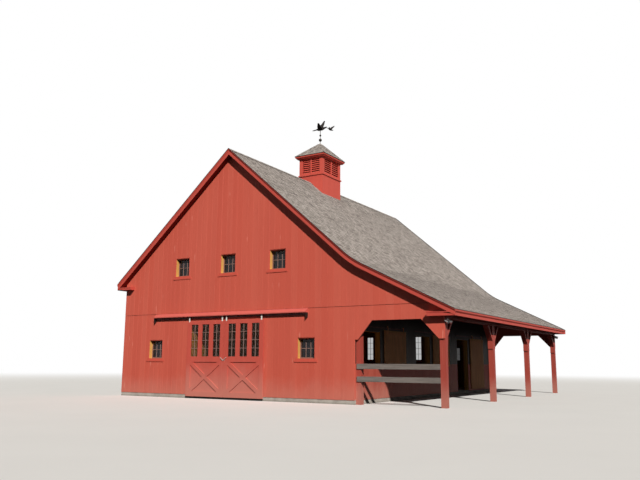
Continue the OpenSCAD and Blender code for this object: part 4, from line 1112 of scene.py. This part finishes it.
# %% Hoods
HOOD_OUT, HOOD_DROP, HOOD_EDGE, END_T = 0.170, 0.130, 0.035, 0.022
for side, s in SIDES:
    hood_lo, hood_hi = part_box(f"{side}_track_hood")
    top = hood_hi[2]
    foot = top - HOOD_DROP - HOOD_EDGE
    slant = [(0.000, top), (HOOD_OUT, top - HOOD_DROP), (HOOD_OUT, foot)]
    skin = [*slant, (HOOD_OUT - 0.022, foot), (HOOD_OUT - 0.022, foot + 0.024), (0.000, top - 0.028)]
    cap = [*slant, (0.000, foot)]
    for part, profile, x0, x1 in (("boards", skin, hood_lo[0] + END_T, hood_hi[0] - END_T),
                                  ("left_end", cap, hood_lo[0], hood_lo[0] + END_T - 0.0001),
                                  ("right_end", cap, hood_hi[0] - END_T + 0.0001, hood_hi[0])):
        sections = [[(x, s * (REAR_Y + out), z) for out, z in profile] for x in (x0, x1)]
        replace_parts(sweep(f"{side}_hood_{part}", sections, hood_paint), f"{side}_track_hood")

# %% [markdown]
# ## A partition beside the front doorway
#
# Through the glass of the left leaf one sees a slanting patch of warm bare wood in the sun. It is
# taken for a boarded partition that runs inwards beside the doorway.

# %% Partition
floor_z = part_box("floor_slab")[1][2]
inner = -WALL_T - 0.002
span = (DOOR_X - 1.800, DOOR_X - 1.720, inner, inner - 1.400, floor_z + 0.001, floor_z + 2.900)
on_gable("doorway_partition", -1, [span], bare_wood, bevel=0.006)

# %% [markdown]
# ## Rafters over the porch
#
# From the ground one looks up into the porch. Its roof is carried by rafters every 60 cm that run
# from the stall wall down to the beam on the posts. A rafter is a bar whose top follows the roof's
# underside in three lengths: shorter ones where the roof bends, and one on the straight part.

# %% Porch rafters
RAFTER_STEP, RAFTER_DEPTH, RAFTER_T = 0.61, 0.14, 0.04
x = np.array([RIGHT_X + 0.012, RIGHT_X + 0.6, RIGHT_X + 1.2, POST_X - 0.001])
y = np.arange(FRONT_Y + 0.35, REAR_Y - 0.2, RAFTER_STEP)[:, None]
top, n, half = under_roof(x) - 0.001, len(x), RAFTER_T / 2
edges = ((-half, 0), (half, 0), (half, RAFTER_DEPTH), (-half, RAFTER_DEPTH))
lines = [np.stack(np.broadcast_arrays(x, y + dy, top - drop), -1) for dy, drop in edges]
corners = np.concatenate(lines, 1)
faces = [tuple(c * n for c in range(4)), tuple(c * n + n - 1 for c in (3, 2, 1, 0))]
for c, d in ((0, n), (n, 2 * n), (2 * n, 3 * n), (3 * n, 0)):
    faces += [(c + k, c + k + 1, d + k + 1, d + k) for k in range(n - 1)]
add_piece("porch_rafters", corners, faces, shaded_beam_wood)

# %% [markdown]
# ## The stage, the sun and the camera
#
# The floor is plain and pale, and the sky is a plain soft light. One lamp stands for the sun: it
# comes from the right of the front. Its direction was worked out from two shadows: the narrow band
# under the left rake and the wide one under the right rake have the same overhang, so their two
# widths give the sun's two angles. The floor is pale to the camera but sends little light back
# up, and it fades to white with distance so that no hard horizon shows. The camera stands where
# the picture was taken from, low above the ground, and looks up a little.

# %% Floor and light
scene = bpy.context.scene
scene.view_settings.view_transform = "Standard"

ground = bpy.data.meshes.new("ground")
ring = np.linspace(0, 2 * math.pi, 97)[:-1]
ground.from_pydata([(90 * math.cos(a), 90 * math.sin(a), 0) for a in ring], [], [tuple(range(96))])
floor = bpy.data.objects.new("floor", ground)
scene.collection.objects.link(floor)
floor_finish, tree, shader = start_finish("floor", 0.95, specular=0.1)
cloud = noise(tree, (0.4, 0.4, 0.4), 4.0)
pale = mixed(tree, cloud, (226, 225, 222), (232, 231, 228))
path = tree.nodes.new("ShaderNodeLightPath")
ground_tone = mixed(tree, path.outputs["Is Camera Ray"], (52, 52, 54), pale)
tree.links.new(ground_tone, shader.inputs["Base Color"])
away = put(tree, "ShaderNodeVectorMath", {"operation": "LENGTH"}, {0: place(tree)}, out=1)
glow = put(tree, "ShaderNodeEmission", None, {"Color": (1, 1, 1, 1), "Strength": 1.0})
fade = maths(tree, "MULTIPLY", between(tree, away, 22, 75), path.outputs["Is Camera Ray"])
blended = put(tree, "ShaderNodeMixShader", None, {0: fade, 1: shader.outputs[0], 2: glow})
tree.links.new(blended, tree.nodes["Material Output"].inputs[0])
ground.materials.append(floor_finish)

world = bpy.data.worlds.new("sky")
scene.world = world
world.use_nodes = True
tree = world.node_tree
tree.nodes.clear()
path = tree.nodes.new("ShaderNodeLightPath")
seen = maths(tree, "MAXIMUM", path.outputs["Is Camera Ray"],
             maths(tree, "MAXIMUM", path.outputs["Is Glossy Ray"], path.outputs["Is Transmission Ray"]))
plain = put(tree, "ShaderNodeBackground", None, {"Color": (0.78, 0.88, 1.0, 1), "Strength": 0.05})
white = put(tree, "ShaderNodeBackground", None, {"Color": (1, 1, 1, 1), "Strength": 1.0})
both = put(tree, "ShaderNodeMixShader", None, {0: seen, 1: plain, 2: white})
sky_out = tree.nodes.new("ShaderNodeOutputWorld")
tree.links.new(both, sky_out.inputs[0])

SUN_WAY = Vector((-0.97, 1.0, -0.94))
sun = bpy.data.lights.new("sun", "SUN")
sun.energy = 4.6
sun.angle = math.radians(1.5)
sun.color = (1.0, 0.965, 0.92)
sun_object = bpy.data.objects.new("sun", sun)
scene.collection.objects.link(sun_object)
sun_object.matrix_world = SUN_WAY.to_track_quat("-Z", "Y").to_matrix().to_4x4()

# %% Camera
EYE = (14.9885, -27.792, 1.332)
YAW, PITCH, ROLL = -0.551, 0.178, 0.006
FOCAL_PIXELS, PIXELS_WIDE = 687.435, 640
forward = Vector((math.sin(YAW) * math.cos(PITCH), math.cos(YAW) * math.cos(PITCH), math.sin(PITCH)))
flat_right = Vector((math.cos(YAW), -math.sin(YAW), 0))
flat_up = flat_right.cross(forward)
right = flat_right * math.cos(ROLL) + flat_up * math.sin(ROLL)
up = right.cross(forward)
turn = Matrix((right, up, -forward)).transposed().to_4x4()
camera = bpy.data.cameras.new("camera")
camera.sensor_width = 36
camera.lens = FOCAL_PIXELS / PIXELS_WIDE * camera.sensor_width
camera.clip_end = 300
camera_object = bpy.data.objects.new("camera", camera)
scene.collection.objects.link(camera_object)
camera_object.matrix_world = Matrix.Translation(EYE) @ turn
scene.camera = camera_object
